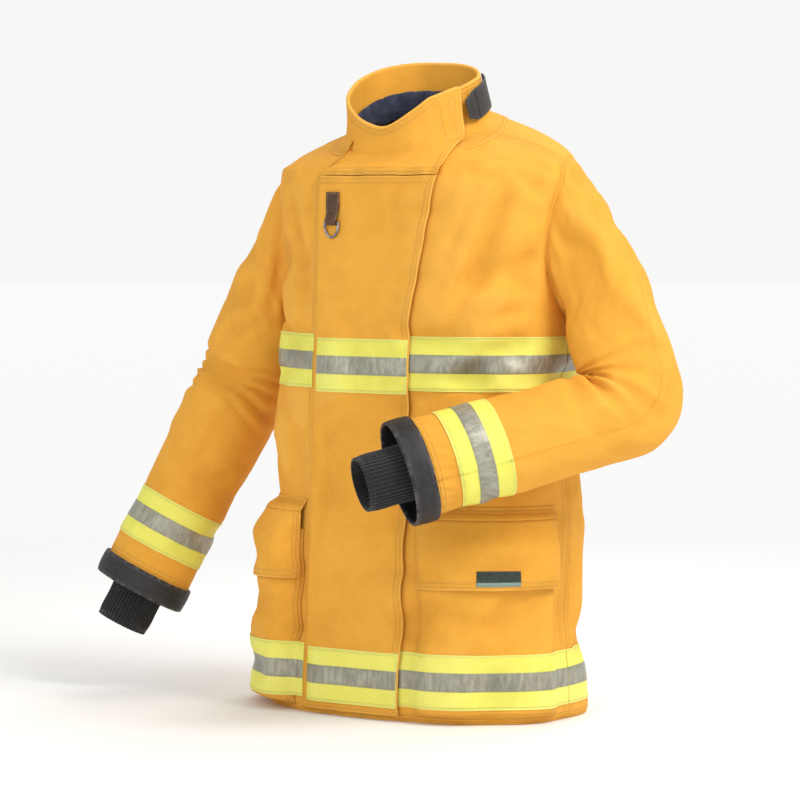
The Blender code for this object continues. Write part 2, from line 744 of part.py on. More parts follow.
def sleeve(side):
    arm = Arm(side)
    start, upper_end, fore_start = arm.rigid
    name = side + "_"
    mouth, first = armhole_ring(arm), arm.upper_ring(start - SHOULDER_GAP)
    size = ARMS[side]["bulge"]
    bulge = Vector((-size if side == "right" else size, 0, size / 2)) * MM
    shoulder_rings = []
    for share in (0, 0.3, 0.65, 1):
        lift = bulge * math.sin(math.pi * share)
        shoulder_rings.append([a.lerp(b, share) + lift for a, b in zip(mouth, first)])
    tube(name + "shoulder_sleeve", shoulder_rings, SLEEVE_WALL, "gold_fabric")
    shoulder = add_pivot(name + "shoulder_pivot", arm.shoulder * MM)
    elbow = add_pivot(name + "elbow_pivot", arm.elbow * MM)
    upper = [arm.upper_ring(s) for s in (start, (start + upper_end) / 2, upper_end)]
    hang(tube(name + "upper_sleeve", upper, SLEEVE_WALL, "gold_fabric"), shoulder)
    lining = [arm.upper_ring(s, -4.5) for s in (start, upper_end)]
    hang(tube(name + "upper_lining", lining, LINER_WALL - 1, "navy_lining"), shoulder)
    fan = [arm.fan_ring(i / 4) for i in range(5)] if side == "left" else [arm.fan_ring(0.5)]
    lead = [arm.upper_ring(upper_end + ELBOW_GAP)]
    tail = [arm.fore_ring(fore_start - ELBOW_GAP)]
    hang(tube(name + "elbow_sleeve", lead + fan + tail, SLEEVE_WALL, "gold_fabric"), shoulder)
    end = arm.fore_length
    trim_end = end - SLEEVE_TRIM_FROM_CUFF
    fore = [arm.fore_ring(s) for s in (fore_start, trim_end - TRIM_WIDTH, trim_end, end)]
    hang(tube(name + "forearm_sleeve", fore, SLEEVE_WALL, "gold_fabric"), elbow)
    lining = [arm.fore_ring(s, -4.5) for s in (fore_start, end - 30)]
    hang(tube(name + "forearm_lining", lining, LINER_WALL - 1, "navy_lining"), elbow)
    trim = [
        arm.fore_ring(s, TRIM_FACE + TRIM_WALL) for s in (trim_end - TRIM_WIDTH, trim_end)
    ]
    hang(tube(name + "sleeve_trim", trim, TRIM_WALL, "lime_tape"), elbow)
    cuff = [arm.fore_ring(end, 5.0), arm.fore_ring(end, 5.0)]
    reach = arm.fore * CUFF_LENGTH * MM
    inset = arm.fore * 1.0 * MM
    cuff = [[p + inset for p in cuff[0]], [p + reach for p in cuff[1]]]
    hang(tube(name + "cuff_band", cuff, CUFF_WALL, "black_leather"), elbow)
    wrist_start, wrist_end = end - 14, end + CUFF_LENGTH + WRISTLET_LENGTH
    radius = WRISTLET_RADIUS

    def wrist_ring(along, size):
        return arm.ring(arm.elbow + arm.fore * along, arm.angle, size, size)

    knit = [
        wrist_ring(wrist_start, radius),
        wrist_ring(end + 20, radius),
        wrist_ring(wrist_end, radius - 2),
    ]
    hang(tube(name + "wristlet", knit, WRISTLET_WALL, "black_knit"), elbow)
    well = [wrist_ring(end - 10, radius + 1.5), arm.fore_ring(end + 8, -4.0)]
    hang(tube(name + "sleeve_well", well, 1.5, "black_knit"), elbow)


# ---- Collar strap and hanger loop -----------------------------------------------------------
def throat_tab():
    """A strap stowed on the wearer's left of the collar, on an upright hinge at its rear end."""
    start, end = THROAT_TAB_SPAN
    base = STATIONS[-1][0] + 14
    pivot = add_pivot("throat_tab_pivot", base_point(end, base + 20, THROAT_TAB_FACE))
    tab = patch(
        "throat_tab",
        span(start, end, LINER_STEP),
        [base, base + 38],
        THROAT_TAB_WALL,
        "black_webbing",
        THROAT_TAB_FACE,
    )
    hang(tab, pivot)


def hanger_loop():
    """A webbing loop below the back of the collar: a flat outline with a slot, thickened."""
    strap, thick = LOOP_STRAP["strap"], LOOP_STRAP["thick"]
    width, rise = LOOP_STRAP["width"], LOOP_STRAP["rise"]
    curve = bpy.data.curves.new("hanger_loop", "CURVE")
    curve.dimensions = "2D"
    curve.fill_mode = "BOTH"
    curve.extrude = strap / 2 * MM
    outline = [(-width / 2, -rise), (-width / 2, 0), (width / 2, 0), (width / 2, -rise)]
    inner = [(x * (1 - 2 * thick / width), y - (thick if y == 0 else 0)) for x, y in outline]
    spline = curve.splines.new("POLY")
    corners = outline + inner[::-1]
    spline.points.add(len(corners) - 1)
    for point, (px, py) in zip(spline.points, corners):
        point.co = (px * MM, py * MM, 0, 1)
    spline.use_cyclic_u = True
    obj = bpy.data.objects.new("hanger_loop", curve)
    curve.materials.append(MATERIALS["black_webbing"])
    COAT.objects.link(obj)
    seat = base_point(180, 776, strap / 2 + 1.5)
    pivot = add_pivot("hanger_loop_pivot", seat)
    obj.parent = pivot
    obj.location = Vector((0, 0, rise * MM))
    obj.rotation_euler = (math.pi / 2, 0, 0)


def set_origin():
    """Moves the coat so that the middle of the shell's wall at the hem's back is at the origin."""
    loose = [obj for obj in bpy.data.objects if obj.parent is None]
    empty = add_pivot("coat_origin", (0, 0, 0))
    for obj in loose:
        obj.parent = empty
    empty.location.y = (SHELL_WALL / 2 - STATIONS[0][3]) * MM


def main():
    outer_shell()
    inner_layers()
    collar()
    body_trims()
    for side in ARMS:
        pocket(side)
        pocket_flap(side)
        sleeve(side)
    storm_flap()
    zip_fastener()
    throat_tab()
    hanger_loop()
    set_origin()


main()
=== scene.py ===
"""Looks of the turnout coat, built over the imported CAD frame. Lengths are mm until they become meshes.

The body is one smooth surface, base(), in an angle t round the coat (0 at the front, growing towards
the wearer's left) and a height h. Every layer stands off it by a few mm and shares one field of
folds, so that cloth, tape, pockets and flaps crease together and keep their gaps.
"""

import math

import bmesh
import bpy
import numpy as np
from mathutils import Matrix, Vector


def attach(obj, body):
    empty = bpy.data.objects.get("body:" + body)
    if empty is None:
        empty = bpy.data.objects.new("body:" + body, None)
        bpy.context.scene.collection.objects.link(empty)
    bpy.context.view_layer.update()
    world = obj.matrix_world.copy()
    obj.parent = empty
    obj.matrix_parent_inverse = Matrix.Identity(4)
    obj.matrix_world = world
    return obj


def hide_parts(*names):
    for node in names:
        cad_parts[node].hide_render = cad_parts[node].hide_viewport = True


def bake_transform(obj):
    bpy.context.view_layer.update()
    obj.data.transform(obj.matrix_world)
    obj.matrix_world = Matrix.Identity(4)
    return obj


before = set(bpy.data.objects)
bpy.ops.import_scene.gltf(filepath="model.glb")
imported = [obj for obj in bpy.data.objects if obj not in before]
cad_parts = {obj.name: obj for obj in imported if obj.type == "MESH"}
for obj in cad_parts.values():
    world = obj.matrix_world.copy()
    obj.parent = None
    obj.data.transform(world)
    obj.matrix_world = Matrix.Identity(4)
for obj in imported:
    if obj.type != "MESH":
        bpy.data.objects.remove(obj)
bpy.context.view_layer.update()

MM = 0.001
ORIGIN = np.array((0, 151.25, 0))  # the frame's origin, in the mm used below
CELL = 6.0  # grid spacing of the outer cloth, mm
FAR = 900.0  # mm, too far from an edge or a place for it to matter

# ---- The coat's dimensions, as in the CAD source ---------------------------------------------
# height at the side, half width, front y, back y, rise towards the back
STATIONS = np.array(
    [
        (0, 230, -160.0, 152, 0.00),
        (6, 230, -160.0, 152, 0.00),
        (95, 229, -155.5, 152, 0.00),
        (195, 228, -150.5, 152, 0.00),
        (290, 226, -145.5, 151, 0.00),
        (380, 225, -141.0, 149, 0.00),
        (460, 225, -137.0, 148, 0.00),
        (545, 227, -132.5, 147, 0.00),
        (620, 230, -129.0, 144, 0.00),
        (690, 236, -125.5, 138, 0.00),
        (735, 238, -123.0, 128, 0.02),
        (760, 230, -120.0, 115, 0.08),
        (776, 211, -116.0, 102, 0.18),
        (789, 179, -112.0, 87, 0.28),
        (799, 139, -109.0, 70, 0.37),
        (808, 102, -106.0, 54, 0.44),
    ],
    float,
)
NECK = 808.0
COLLAR_RIM = np.array((886, 90, -104.0, 52, 0.43))
COLLAR_LEAN = -11.0
RIM_HEIGHTS = np.array(
    [
        (-180, 868),
        (-120, 876),
        (-90, 880),
        (-60, 874),
        (-35, 861),
        (0, 843),
        (25, 862),
        (45, 875),
        (60, 876),
        (90, 870),
        (120, 864),
        (180, 868),
    ],
    float,
)
SQUARENESS = 0.82
FRONT_GAP = 0.9
TRIM_WIDTH, SILVER_WIDTH = 74.0, 25.0
CHEST_TRIM, HEM_TRIM = 451.0, 21.0
FLAP_HINGE_X, FLAP_FREE_X, FLAP_BASE, FLAP_TOP = -97.0, 62.0, 8.0, 748.0
ROOT_X = FLAP_HINGE_X - 12  # where the strip that carries the storm flap is sewn on
LEFT_TRIM_X, RIGHT_TRIM_X = 24.0, FLAP_HINGE_X - 6.2  # the body tapes' ends at the closing
HOOK_X, HOOK_SPAN = (38.0, 54.0), (20.0, 724.0)  # hook-and-loop under the flap's free edge
TAB_X, TAB_Z, FLAT_Z = -70.0, 701.64, 698.0  # the D-ring's leather tab, and the flat cloth there
LINING_FOOT = 15.0
FLARE_FROM, FLARE = 540.0, 36.0
POCKET_SPAN = {"left": (17.0, 82.5), "right": (-90.0, -27.0)}
POCKET_DEPTH = {"left": (12.0, 20.0), "right": (30.0, 33.0)}
POCKET_BASE, POCKET_TOP, POCKET_RAMP = 8.0, 252.0, 7.5
POCKET_FLAP = (184.0, 277.0)
FLAP_FACE = {"left": 24.5, "right": 37.5}
FLAP_TOP_FACE = {"left": 12.0, "right": 17.0}
FLAP_SLANT = 40.0
ARMHOLE = {"y": 29.0, "z": 659.0, "half_y": 71.0, "half_z": 114.0}
CREASE_GAP, ELBOW_BULGE = 6.0, 6.0
CUFF_LENGTH, WRISTLET_RADIUS, WRISTLET_LENGTH = 31.0, 40.0, 55.0
ARMS = {
    "right": {
        "shoulder": (-228, 29, 705),
        "elbow": (-331, 7, 446),
        "cuff": (-440, -85, 171),
        "normal": (67, 67, 68),
        "bend": (72, 70, 53),
        "start": 184,
        "bulge": 7,
        "join": 205,
        "elbow_span": (212, 84),
    },
    "left": {
        "shoulder": (228, 29, 705),
        "elbow": (342, 2, 431),
        "cuff": (155, -238, 356),
        "normal": (66, 57, 50),
        "bend": (68, 66, 68),
        "start": 178,
        "bulge": 15,
        "join": 196,
        "elbow_span": (200, 92),
    },
}
SLEEVE_TRIM_FROM_CUFF = 35.0


# ---- Numbers ---------------------------------------------------------------------------------
def smooth(x):
    x = np.clip(x, 0.0, 1.0)
    return x * x * (3 - 2 * x)


def bell(x):
    return np.exp(-np.square(x))


def unit(v):
    return v / np.maximum(np.linalg.norm(v, axis=-1, keepdims=True), 1e-9)


def noise(u, v, seed, wrap=97):
    """Smooth noise from -1 to 1. u repeats after wrap cells."""
    table = np.random.RandomState(seed).uniform(-1, 1, (wrap, 97))
    iu, iv = np.floor(u).astype(int), np.floor(v).astype(int)
    fu, fv = u - iu, v - iv
    fu, fv = (f**3 * (f * (f * 6 - 15) + 10) for f in (fu, fv))
    low = table[iu % wrap, iv % 97] * (1 - fu) + table[(iu + 1) % wrap, iv % 97] * fu
    high = table[iu % wrap, (iv + 1) % 97] * (1 - fu) + table[(iu + 1) % wrap, (iv + 1) % 97] * fu
    return low * (1 - fv) + high * fv


def monotone(knots, values, x):
    """Smooth curve through values at knots that never overshoots them."""
    step = np.diff(knots)[:, None]
    rate = np.diff(values, axis=0) / step
    slope = np.zeros_like(values)
    slope[0], slope[-1] = rate[0], rate[-1]
    both = rate[:-1] * rate[1:]
    total = rate[:-1] + rate[1:]
    slope[1:-1] = np.where(both > 0, 2 * both / np.where(np.abs(total) > 1e-12, total, 1), 0)
    i = np.clip(np.searchsorted(knots, x, "right") - 1, 0, len(knots) - 2)
    s = ((x - knots[i]) / step[i, 0])[..., None]
    h = step[i]
    a = (1 + 2 * s) * (1 - s) ** 2
    b = s * (1 - s) ** 2
    return a * values[i] + b * h * slope[i] + (1 - a) * values[i + 1] - s * s * (1 - s) * h * slope[i + 1]


# ---- The base surface ------------------------------------------------------------------------
def ring(h):
    h = np.asarray(h, float)
    body = monotone(STATIONS[:, 0], STATIONS[:, 1:], np.clip(h, 0, NECK))
    up = np.clip((h - NECK) / (COLLAR_RIM[0] - NECK), 0, 1.15)[..., None]
    return np.moveaxis(body + (COLLAR_RIM[1:] - STATIONS[-1, 1:]) * up, -1, 0)


def base(t, h):
    """Points of the base surface at these angles in degrees and heights in mm."""
    t, h = np.broadcast_arrays(np.asarray(t, float), np.asarray(h, float))
    half, front, back, rise = ring(h)
    s, c = np.sin(np.radians(t)), np.cos(np.radians(t))
    x = half * np.sign(s) * np.abs(s) ** SQUARENESS
    y = -(back - front) / 2 * np.sign(c) * np.abs(c) ** SQUARENESS
    lean = COLLAR_LEAN * np.clip((h - NECK) / (COLLAR_RIM[0] - NECK), 0, 1.15)
    return np.stack([x + lean, (front + back) / 2 + y, h + rise * y], -1)


def base_normal(t, h):
    across = base(t + 1.2, h) - base(t - 1.2, h)
    up = base(t, np.minimum(h + 4, COLLAR_RIM[0])) - base(t, np.maximum(h - 4, 0))
    return unit(np.cross(across, up))


_TURN = np.linspace(-540, 540, 21601)
_POINTS = base(_TURN, np.full_like(_TURN, 400.0))
_ARC = np.concatenate([[0], np.cumsum(np.linalg.norm(np.diff(_POINTS, axis=0), axis=1))])
_ARC -= np.interp(0, _TURN, _ARC)
GIRTH = np.interp(360, _TURN, _ARC)


def arc_of(t):
    return np.interp(t, _TURN, _ARC)


def angle_of(arc):
    return np.interp(arc, _ARC, _TURN)


def angle_at_x(x, h):
    half = ring(h)[0]
    share = np.clip(np.abs(x) / half, 0, 1) ** (1 / SQUARENESS)
    return np.sign(x) * np.degrees(np.arcsin(share))


def between(start, end, step=CELL):
    """Angles from start to end, evenly spaced along the coat."""
    a, b = arc_of(start), arc_of(end)
    return angle_of(np.linspace(a, b, max(int(abs(b - a) / step), 1) + 1))


def levels(low, high, step=CELL):
    return np.linspace(low, high, max(int((high - low) / step), 1) + 1)


# ---- Draping ---------------------------------------------------------------------------------
def settled(points, pinned, growth, pressure, bending, frames=20):
    """Cloth simulation: how a closed tube of cloth, cut larger than its frame by this growth,
    buckles when its pinned points are held. Gives the points after the last frame, in mm."""
    rows, cols = points.shape[:2]
    index = np.arange(rows * cols).reshape(rows, cols)
    right = np.roll(index, -1, axis=1)
    quads = np.stack([index[:-1], right[:-1], right[1:], index[1:]], -1).reshape(-1, 4)
    mesh = new_mesh("drape", points.reshape(-1, 3), quads)
    obj = bpy.data.objects.new("drape", mesh)
    bpy.context.scene.collection.objects.link(obj)
    group = obj.vertex_groups.new(name="pin")
    group.add(np.flatnonzero(pinned.ravel()).tolist(), 1.0, "REPLACE")
    cloth = obj.modifiers.new("cloth", "CLOTH")
    cloth.collision_settings.use_collision = False
    settings = cloth.settings
    settings.quality = 4
    settings.mass = 0.2
    settings.tension_stiffness = settings.compression_stiffness = 12
    settings.shear_stiffness = 4
    settings.bending_stiffness = bending
    settings.vertex_group_mass = "pin"
    settings.shrink_min = -growth
    settings.use_pressure = True
    settings.uniform_pressure_force = pressure
    settings.effector_weights.gravity = 0
    scene = bpy.context.scene
    cloth.point_cache.frame_end = frames
    for number in range(1, frames + 1):
        scene.frame_set(number)
    graph = bpy.context.evaluated_depsgraph_get()
    after = np.zeros(rows * cols * 3, np.float32)
    obj.evaluated_get(graph).data.vertices.foreach_get("co", after)
    bpy.data.objects.remove(obj)
    scene.frame_set(1)
    return after.reshape(rows, cols, 3).astype(float) / MM + ORIGIN


def blurred(field, times):
    """The field with its high frequencies taken out. Columns wrap round and rows don't."""
    for _ in range(times):
        field = (np.roll(field, 1, 1) + 2 * field + np.roll(field, -1, 1)) / 4
        field = np.concatenate([field[:1], (field[:-2] + 2 * field[1:-1] + field[2:]) / 4, field[-1:]])
    return field


def soft_cap(field, limit):
    """Keeps the field within the limit, without flat tops."""
    return limit * np.tanh(field / limit)


def body_drape():
    """Folds of the coat's body from a simulation, as a field over angle and height."""
    t = angle_of(np.linspace(arc_of(-180), arc_of(180), 217)[:-1])[None, :]
    h = levels(0, NECK, 8.0)[:, None]
    points = base(t, h)
    share = armhole_share(points)
    pinned = (np.abs(t) < 4) | (h > 770) | (h < 4) | (np.abs(share - 1) < 0.1)
    pinned = pinned | ((np.abs(h - CHEST_TRIM - 37) < 30) & (noise(t / 23, h / 400, 9) > 0.25))
    moved = settled(points, pinned, 0.05, 1.6, 0.35)
    field = ((moved - points) * base_normal(*np.broadcast_arrays(t, h))).sum(-1)
    return soft_cap(blurred(field - blurred(field, 60), 1), 9.0)


DRAPE = None


def draped(t, h):
    """The simulated folds' height at these angles and heights, in mm."""
    if DRAPE is None:
        return 0.0
    rows, cols = DRAPE.shape
    u = (arc_of(t) - arc_of(-180)) / GIRTH * cols
    v = np.clip(h / NECK * (rows - 1), 0, rows - 1.001)
    iu, iv = np.floor(u).astype(int), np.floor(v).astype(int)
    fu, fv = u - iu, v - iv
    a, b = DRAPE[iv, iu % cols], DRAPE[iv, (iu + 1) % cols]
    c, d = DRAPE[iv + 1, iu % cols], DRAPE[iv + 1, (iu + 1) % cols]
    return (a * (1 - fu) + b * fu) * (1 - fv) + (c * (1 - fu) + d * fu) * fv


# ---- Folds -----------------------------------------------------------------------------------
def crease(points, line, width, depth):
    """A valley (or a ridge, if depth is above 0) along a line of points, with a softer swell to
    one side, fading at both ends."""
    line = np.asarray(line, float)
    lengths = np.linalg.norm(np.diff(line, axis=0), axis=1)
    total, gone = lengths.sum(), 0.0
    best = np.full(points.shape[:-1], 1e9)
    place = np.zeros_like(best)
    for a, b, length in zip(line, line[1:], lengths):
        along = np.clip(((points - a) @ (b - a)) / length**2, 0, 1)
        away = np.linalg.norm(points - a - along[..., None] * (b - a), axis=-1)
        place = np.where(away < best, (gone + along * length) / total, place)
        best = np.minimum(best, away)
        gone += length
    fade = np.sin(np.pi * np.clip(place * 0.94 + 0.03, 0, 1)) ** 0.7
    swell = bell((best - 2.1 * width) / (1.3 * width))
    return depth * fade * (bell(best / width) - 0.45 * swell)


BODY_CREASES = (
    # (angle, height) points, width, depth in mm
    (((52, 752), (44, 690), (37, 620), (30, 560), (25, 522)), 17, -6.5),
    (((38, 742), (31, 690), (26, 640), (22, 592)), 9, -3.0),
    (((66, 560), (52, 556), (38, 540)), 12, -4.0),
    (((70, 545), (50, 505), (34, 455), (24, 400)), 20, -4.5),
    (((-48, 748), (-38, 690), (-33, 620), (-31, 556)), 15, -4.5),
    (((-72, 560), (-54, 540), (-40, 505)), 14, -4.0),
    (((-70, 470), (-48, 430), (-34, 360), (-28, 300)), 20, -5.0),
    (((-86, 420), (-62, 350), (-48, 300)), 16, -4.0),
    (((-8, 560), (-4, 500), (0, 430)), 22, -2.2),
    (((10, 440), (6, 350), (10, 240)), 24, -2.6),
    (((-16, 420), (-14, 330), (-18, 250)), 16, -2.4),
    (((34, 400), (44, 350), (56, 318)), 16, -3.0),
    (((112, 700), (128, 640), (136, 560), (138, 470)), 20, -5.5),
    (((-112, 700), (-128, 640), (-137, 560), (-139, 480)), 20, -5.5),
    (((150, 720), (160, 640), (163, 540)), 18, -3.5),
    (((-152, 716), (-161, 640), (-166, 560)), 18, -3.0),
    (((100, 470), (122, 420), (150, 380)), 18, -4.0),
    (((-102, 460), (-126, 410), (-152, 376)), 18, -4.0),
    (((120, 380), (126, 260), (124, 120)), 24, -4.0),
    (((-124, 370), (-128, 240), (-125, 100)), 24, -4.0),
    (((168, 440), (172, 300), (169, 120)), 26, -3.5),
    (((-158, 430), (-154, 300), (-157, 110)), 24, -3.5),
)
CREASE_LINES = [
    (base(*np.array(points, float).T), width, depth) for points, width, depth in BODY_CREASES
]


def armhole_share(points):
    """1 on the edge of the armhole, less inside it, for points on either side of the coat."""
    y = (points[..., 1] - ARMHOLE["y"]) / ARMHOLE["half_y"]
    z = (points[..., 2] - ARMHOLE["z"]) / ARMHOLE["half_z"]
    return np.where(np.abs(points[..., 0]) > 150, np.sqrt(y * y + z * z), 9.0)


def body_folds(t, h):
    """How far the cloth stands off the base surface because of its folds, in mm."""
    t, h = np.broadcast_arrays(np.asarray(t, float), np.asarray(h, float))
    t = (t + 180) % 360 - 180
    points = base(t, h)
    turn = arc_of(t) / GIRTH
    fold = 4.2 * noise(turn * 9 + 9, h / 135, 3, 9)
    fold += 2.2 * noise(turn * 21 + 21 + h / 260, h / 70, 4, 21)
    fold += 1.0 * noise(turn * 47 + 47, h / 30, 5, 47)
    lower = 1 - smooth((h - 60) / 420)
    sway = np.sin(2 * np.pi * (turn * 11 + 0.25 * noise(turn * 6 + 6, h / 200, 6, 6)))
    fold += 2.6 * lower * sway
    for line, width, depth in CREASE_LINES:
        fold += 1.9 * crease(points, line, width, depth)
    fold += 1.4 * draped(t, h)
    fold = np.where(fold > 0, soft_cap(fold, 11.0), soft_cap(fold, 16.0))
    hem = bell(h / 22.0)
    fold *= 1 - 0.25 * hem
    fold += 7.5 * bell((t + 74) / 26) * bell((h - 385) / 75)
    fold += 3.0 * bell((t - 62) / 25) * bell((h - 330) / 60)
    # The closing down the middle of the front is stiff, and the neck is held by the collar.
    fold *= 1 - 0.95 * bell(t / 6.0)
    fold *= 1 - 0.85 * smooth((h - 760) / 40)
    # The storm flap's hinge is one straight line, and its leather tab lies flat.
    below_neck = 1 - smooth((h - 755) / 20)
    fold *= 1 - 0.95 * bell((points[..., 0] - FLAP_HINGE_X) / 15) * (points[..., 1] < 0) * below_neck
    from_tab = np.hypot(points[..., 0] - TAB_X, (points[..., 2] - FLAT_Z) * 0.8)
    fold *= 1 - bell(np.where(points[..., 1] < 0, from_tab, FAR) / 30)
    for start, end in POCKET_SPAN.values():
        within = smooth((t - start) / 8 + 1) * smooth((end - t) / 8 + 1)
        fold *= 1 - 0.9 * within * bell((h - POCKET_FLAP[1] + 12) / 40)
    # Under the arms the cloth is held in, so that it clears the sleeves.
    side = bell((np.abs(t) - 90) / 30) * smooth((h - 340) / 80) * (1 - smooth((h - 700) / 60))
    fold = np.where(fold > 0, fold * (1 - 0.85 * side), fold)
    reach = (armhole_share(points) - 1) * 92
    fold *= smooth(np.abs(reach) / 40 + 0.25)
    fold -= 2.2 * bell(reach / 4.5)
    for seam in (-90, 90):
        fold -= 1.2 * bell((arc_of(t) - arc_of(seam)) / 3.0)
    return fold


def stand(t, h, out):
    """Points that stand out mm off the folded surface."""
    t, h = np.broadcast_arrays(np.asarray(t, float), np.asarray(h, float))
    return base(t, h) + base_normal(t, h) * (out + body_folds(t, h))[..., None]


# ---- Meshes ----------------------------------------------------------------------------------
def grid_normals(points, closed=False):
    """Unit normals of a grid whose columns run round, left to right, and whose rows go up."""
    up = np.gradient(points, axis=0)
    if closed:
        across = np.roll(points, -1, axis=1) - np.roll(points, 1, axis=1)
    else:
        across = np.gradient(points, axis=1)
    return unit(np.cross(across, up))


def lengths(points, axis):
    """Distance travelled along one axis of the grid, starting at 0."""
    step = np.linalg.norm(np.diff(points, axis=axis), axis=-1)
    zero = np.zeros_like(np.take(step, [0], axis=axis))
    return np.concatenate([zero, np.cumsum(step, axis=axis)], axis=axis)


def new_mesh(name, verts, faces, slots=None):
    """A smooth-shaded mesh from arrays: verts in mm, faces with four corners."""
    mesh = bpy.data.meshes.new(name)
    mesh.vertices.add(len(verts))
    mesh.vertices.foreach_set("co", ((verts - ORIGIN) * MM).astype(np.float32).ravel())
    mesh.loops.add(faces.size)
    mesh.loops.foreach_set("vertex_index", faces.astype(np.int32).ravel())
    mesh.polygons.add(len(faces))
    mesh.polygons.foreach_set("loop_start", np.arange(0, faces.size, 4, dtype=np.int32))
    mesh.polygons.foreach_set("use_smooth", np.ones(len(faces), bool))
    if slots is not None:
        mesh.polygons.foreach_set("material_index", slots.astype(np.int32))
    mesh.update(calc_edges=True)
    mesh.validate()
    return mesh


def add_attribute(mesh, name, values):
    attribute = mesh.attributes.new(name, "FLOAT_VECTOR", "POINT")
    attribute.data.foreach_set("vector", values.astype(np.float32).ravel())


def link(name, mesh, materials):
    obj = bpy.data.objects.new(name, mesh)
    bpy.context.scene.collection.objects.link(obj)
    for material in materials:
        mesh.materials.append(material)
    return obj


SHEET_COUNT = [0]


def sheet(
    name, points, wall, materials, closed=False, keep=None, plain="", relief=None, normals=None, from_edge=None
):
    """A closed wall of cloth under a grid of points, with rounded edges. plain names the sides
    (b, t, l, r) that have no stitching; a capital B or T there also leaves that edge square.
    Given normals are kept in the shading too, so that two sheets can meet without a line.
    from_edge is the distance from a sewn edge, where the grid's own sides don't give it."""
    rows, cols = points.shape[:2]
    joined = normals is not None
    if not joined:
        normals = grid_normals(points, closed)
    count = rows * cols
    index = np.arange(count).reshape(rows, cols)
    right = np.roll(index, -1, axis=1) if closed else index[:, 1:]
    left = index if closed else index[:, :-1]
    quads = np.stack([left[:-1], right[:-1], right[1:], left[1:]], -1)
    quads = quads.reshape(-1, 4) if keep is None else quads[keep]
    start, stop = quads.ravel(), np.roll(quads, -1, axis=1).ravel()
    edge = ~np.isin(start * count + stop, stop * count + start)
    start, stop = start[edge], stop[edge]
    p, n = points.reshape(-1, 3), normals.reshape(-1, 3)
    wide = np.broadcast_to(np.asarray(wall, float), (rows, cols)).reshape(-1, 1)
    outward = np.zeros_like(p)
    away = unit(np.cross(p[stop] - p[start], n[start] + n[stop]))
    np.add.at(outward, start, away)
    np.add.at(outward, stop, away)
    outward = unit(outward)
    for side, row in (("B", index[0]), ("T", index[-1])):
        if side in plain:
            outward[row] = 0
    rim = np.unique(start)
    lookup = np.zeros(count, int)
    lookup[rim] = np.arange(len(rim))
    verts, faces, source = [p, p - n * wide], [quads, quads[:, ::-1] + count], [np.arange(count)] * 2
    bend = [n, -n]
    before_a, before_b = start, stop
    for k in range(1, 4):
        turn = math.pi * k / 4
        drop, out = wide[rim] / 2 * (1 - math.cos(turn)), wide[rim] / 2 * math.sin(turn)
        verts.append(p[rim] - n[rim] * drop + outward[rim] * out)
        bend.append(n[rim] * math.cos(turn) + outward[rim] * math.sin(turn))
        source.append(rim)
        ring_start = 2 * count + (k - 1) * len(rim)
        a, b = ring_start + lookup[start], ring_start + lookup[stop]
        faces.append(np.stack([before_b, before_a, a, b], -1))
        before_a, before_b = a, b
    faces.append(np.stack([before_b, before_a, start + count, stop + count], -1))
    slots = np.concatenate([np.full(len(f), 1 if i == 1 else 0) for i, f in enumerate(faces)])
    verts, faces, source = np.concatenate(verts), np.concatenate(faces), np.concatenate(source)
    bend = np.concatenate(bend)
    used = np.unique(faces)
    remap = np.zeros(len(verts), int)
    remap[used] = np.arange(len(used))
    mesh = new_mesh(name, verts[used], remap[faces], slots)
    source = source[used]
    u, v = lengths(points, 1), lengths(points, 0)
    du = np.minimum(
        u + (FAR if "l" in plain.lower() or closed else 0),
        u[:, -1:] - u + (FAR if "r" in plain.lower() or closed else 0),
    )
    dv = np.minimum(
        v + (FAR if "b" in plain.lower() else 0),
        v[-1:] - v + (FAR if "t" in plain.lower() else 0),
    )
    if from_edge is not None:
        du, dv = from_edge, np.full((rows, cols), FAR)
    if relief is None:
        relief = np.zeros((rows, cols))
    SHEET_COUNT[0] += 1
    seed = np.full((rows, cols), 61.0 * SHEET_COUNT[0])
    add_attribute(mesh, "cloth", np.stack([u, v, seed], -1).reshape(-1, 3)[source])
    # relief is a point's height above or below its neighbours: fold ridges and valleys, quilting lines, knit
    # ribs. The woven cloth and silver tape paint shade in its valleys, and the woven cloth and knit paint
    # highlight on its ridges.
    add_attribute(mesh, "edges", np.stack([du, dv, relief], -1).reshape(-1, 3)[source])
    mesh.attributes.new("row", "INT", "POINT").data.foreach_set("value", (source // cols).astype(np.int32))
    if joined:
        mesh.normals_split_custom_set_from_vertices(unit(bend[used]).tolist())
    materials = list(materials) if isinstance(materials, (list, tuple)) else [materials] * 2
    return link(name, mesh, materials)


def finish_piece(obj, body, slot, *nodes):
    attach(obj, body)
    if nodes:
        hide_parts(*nodes)


def body_sheet(name, t, h, out, wall, materials, body, slot, nodes=(), hole=False, **options):
    """A sheet on the folded body. out is mm at its outer face, or an array of them."""
    t, h = np.broadcast_arrays(np.asarray(t, float), np.asarray(h, float))
    keep = None
    if hole:
        t, h, keep = cut_armholes(t, h)
    points = stand(t, h, out)
    fold = body_folds(t, h)
    # The fold's height goes on as relief, from which the materials paint shade in the valleys and highlight
    # on the ridges.
    obj = sheet(name, points, wall, materials, keep=keep, relief=np.clip(fold / 7, -1, 1), **options)
    finish_piece(obj, body, slot, *nodes)


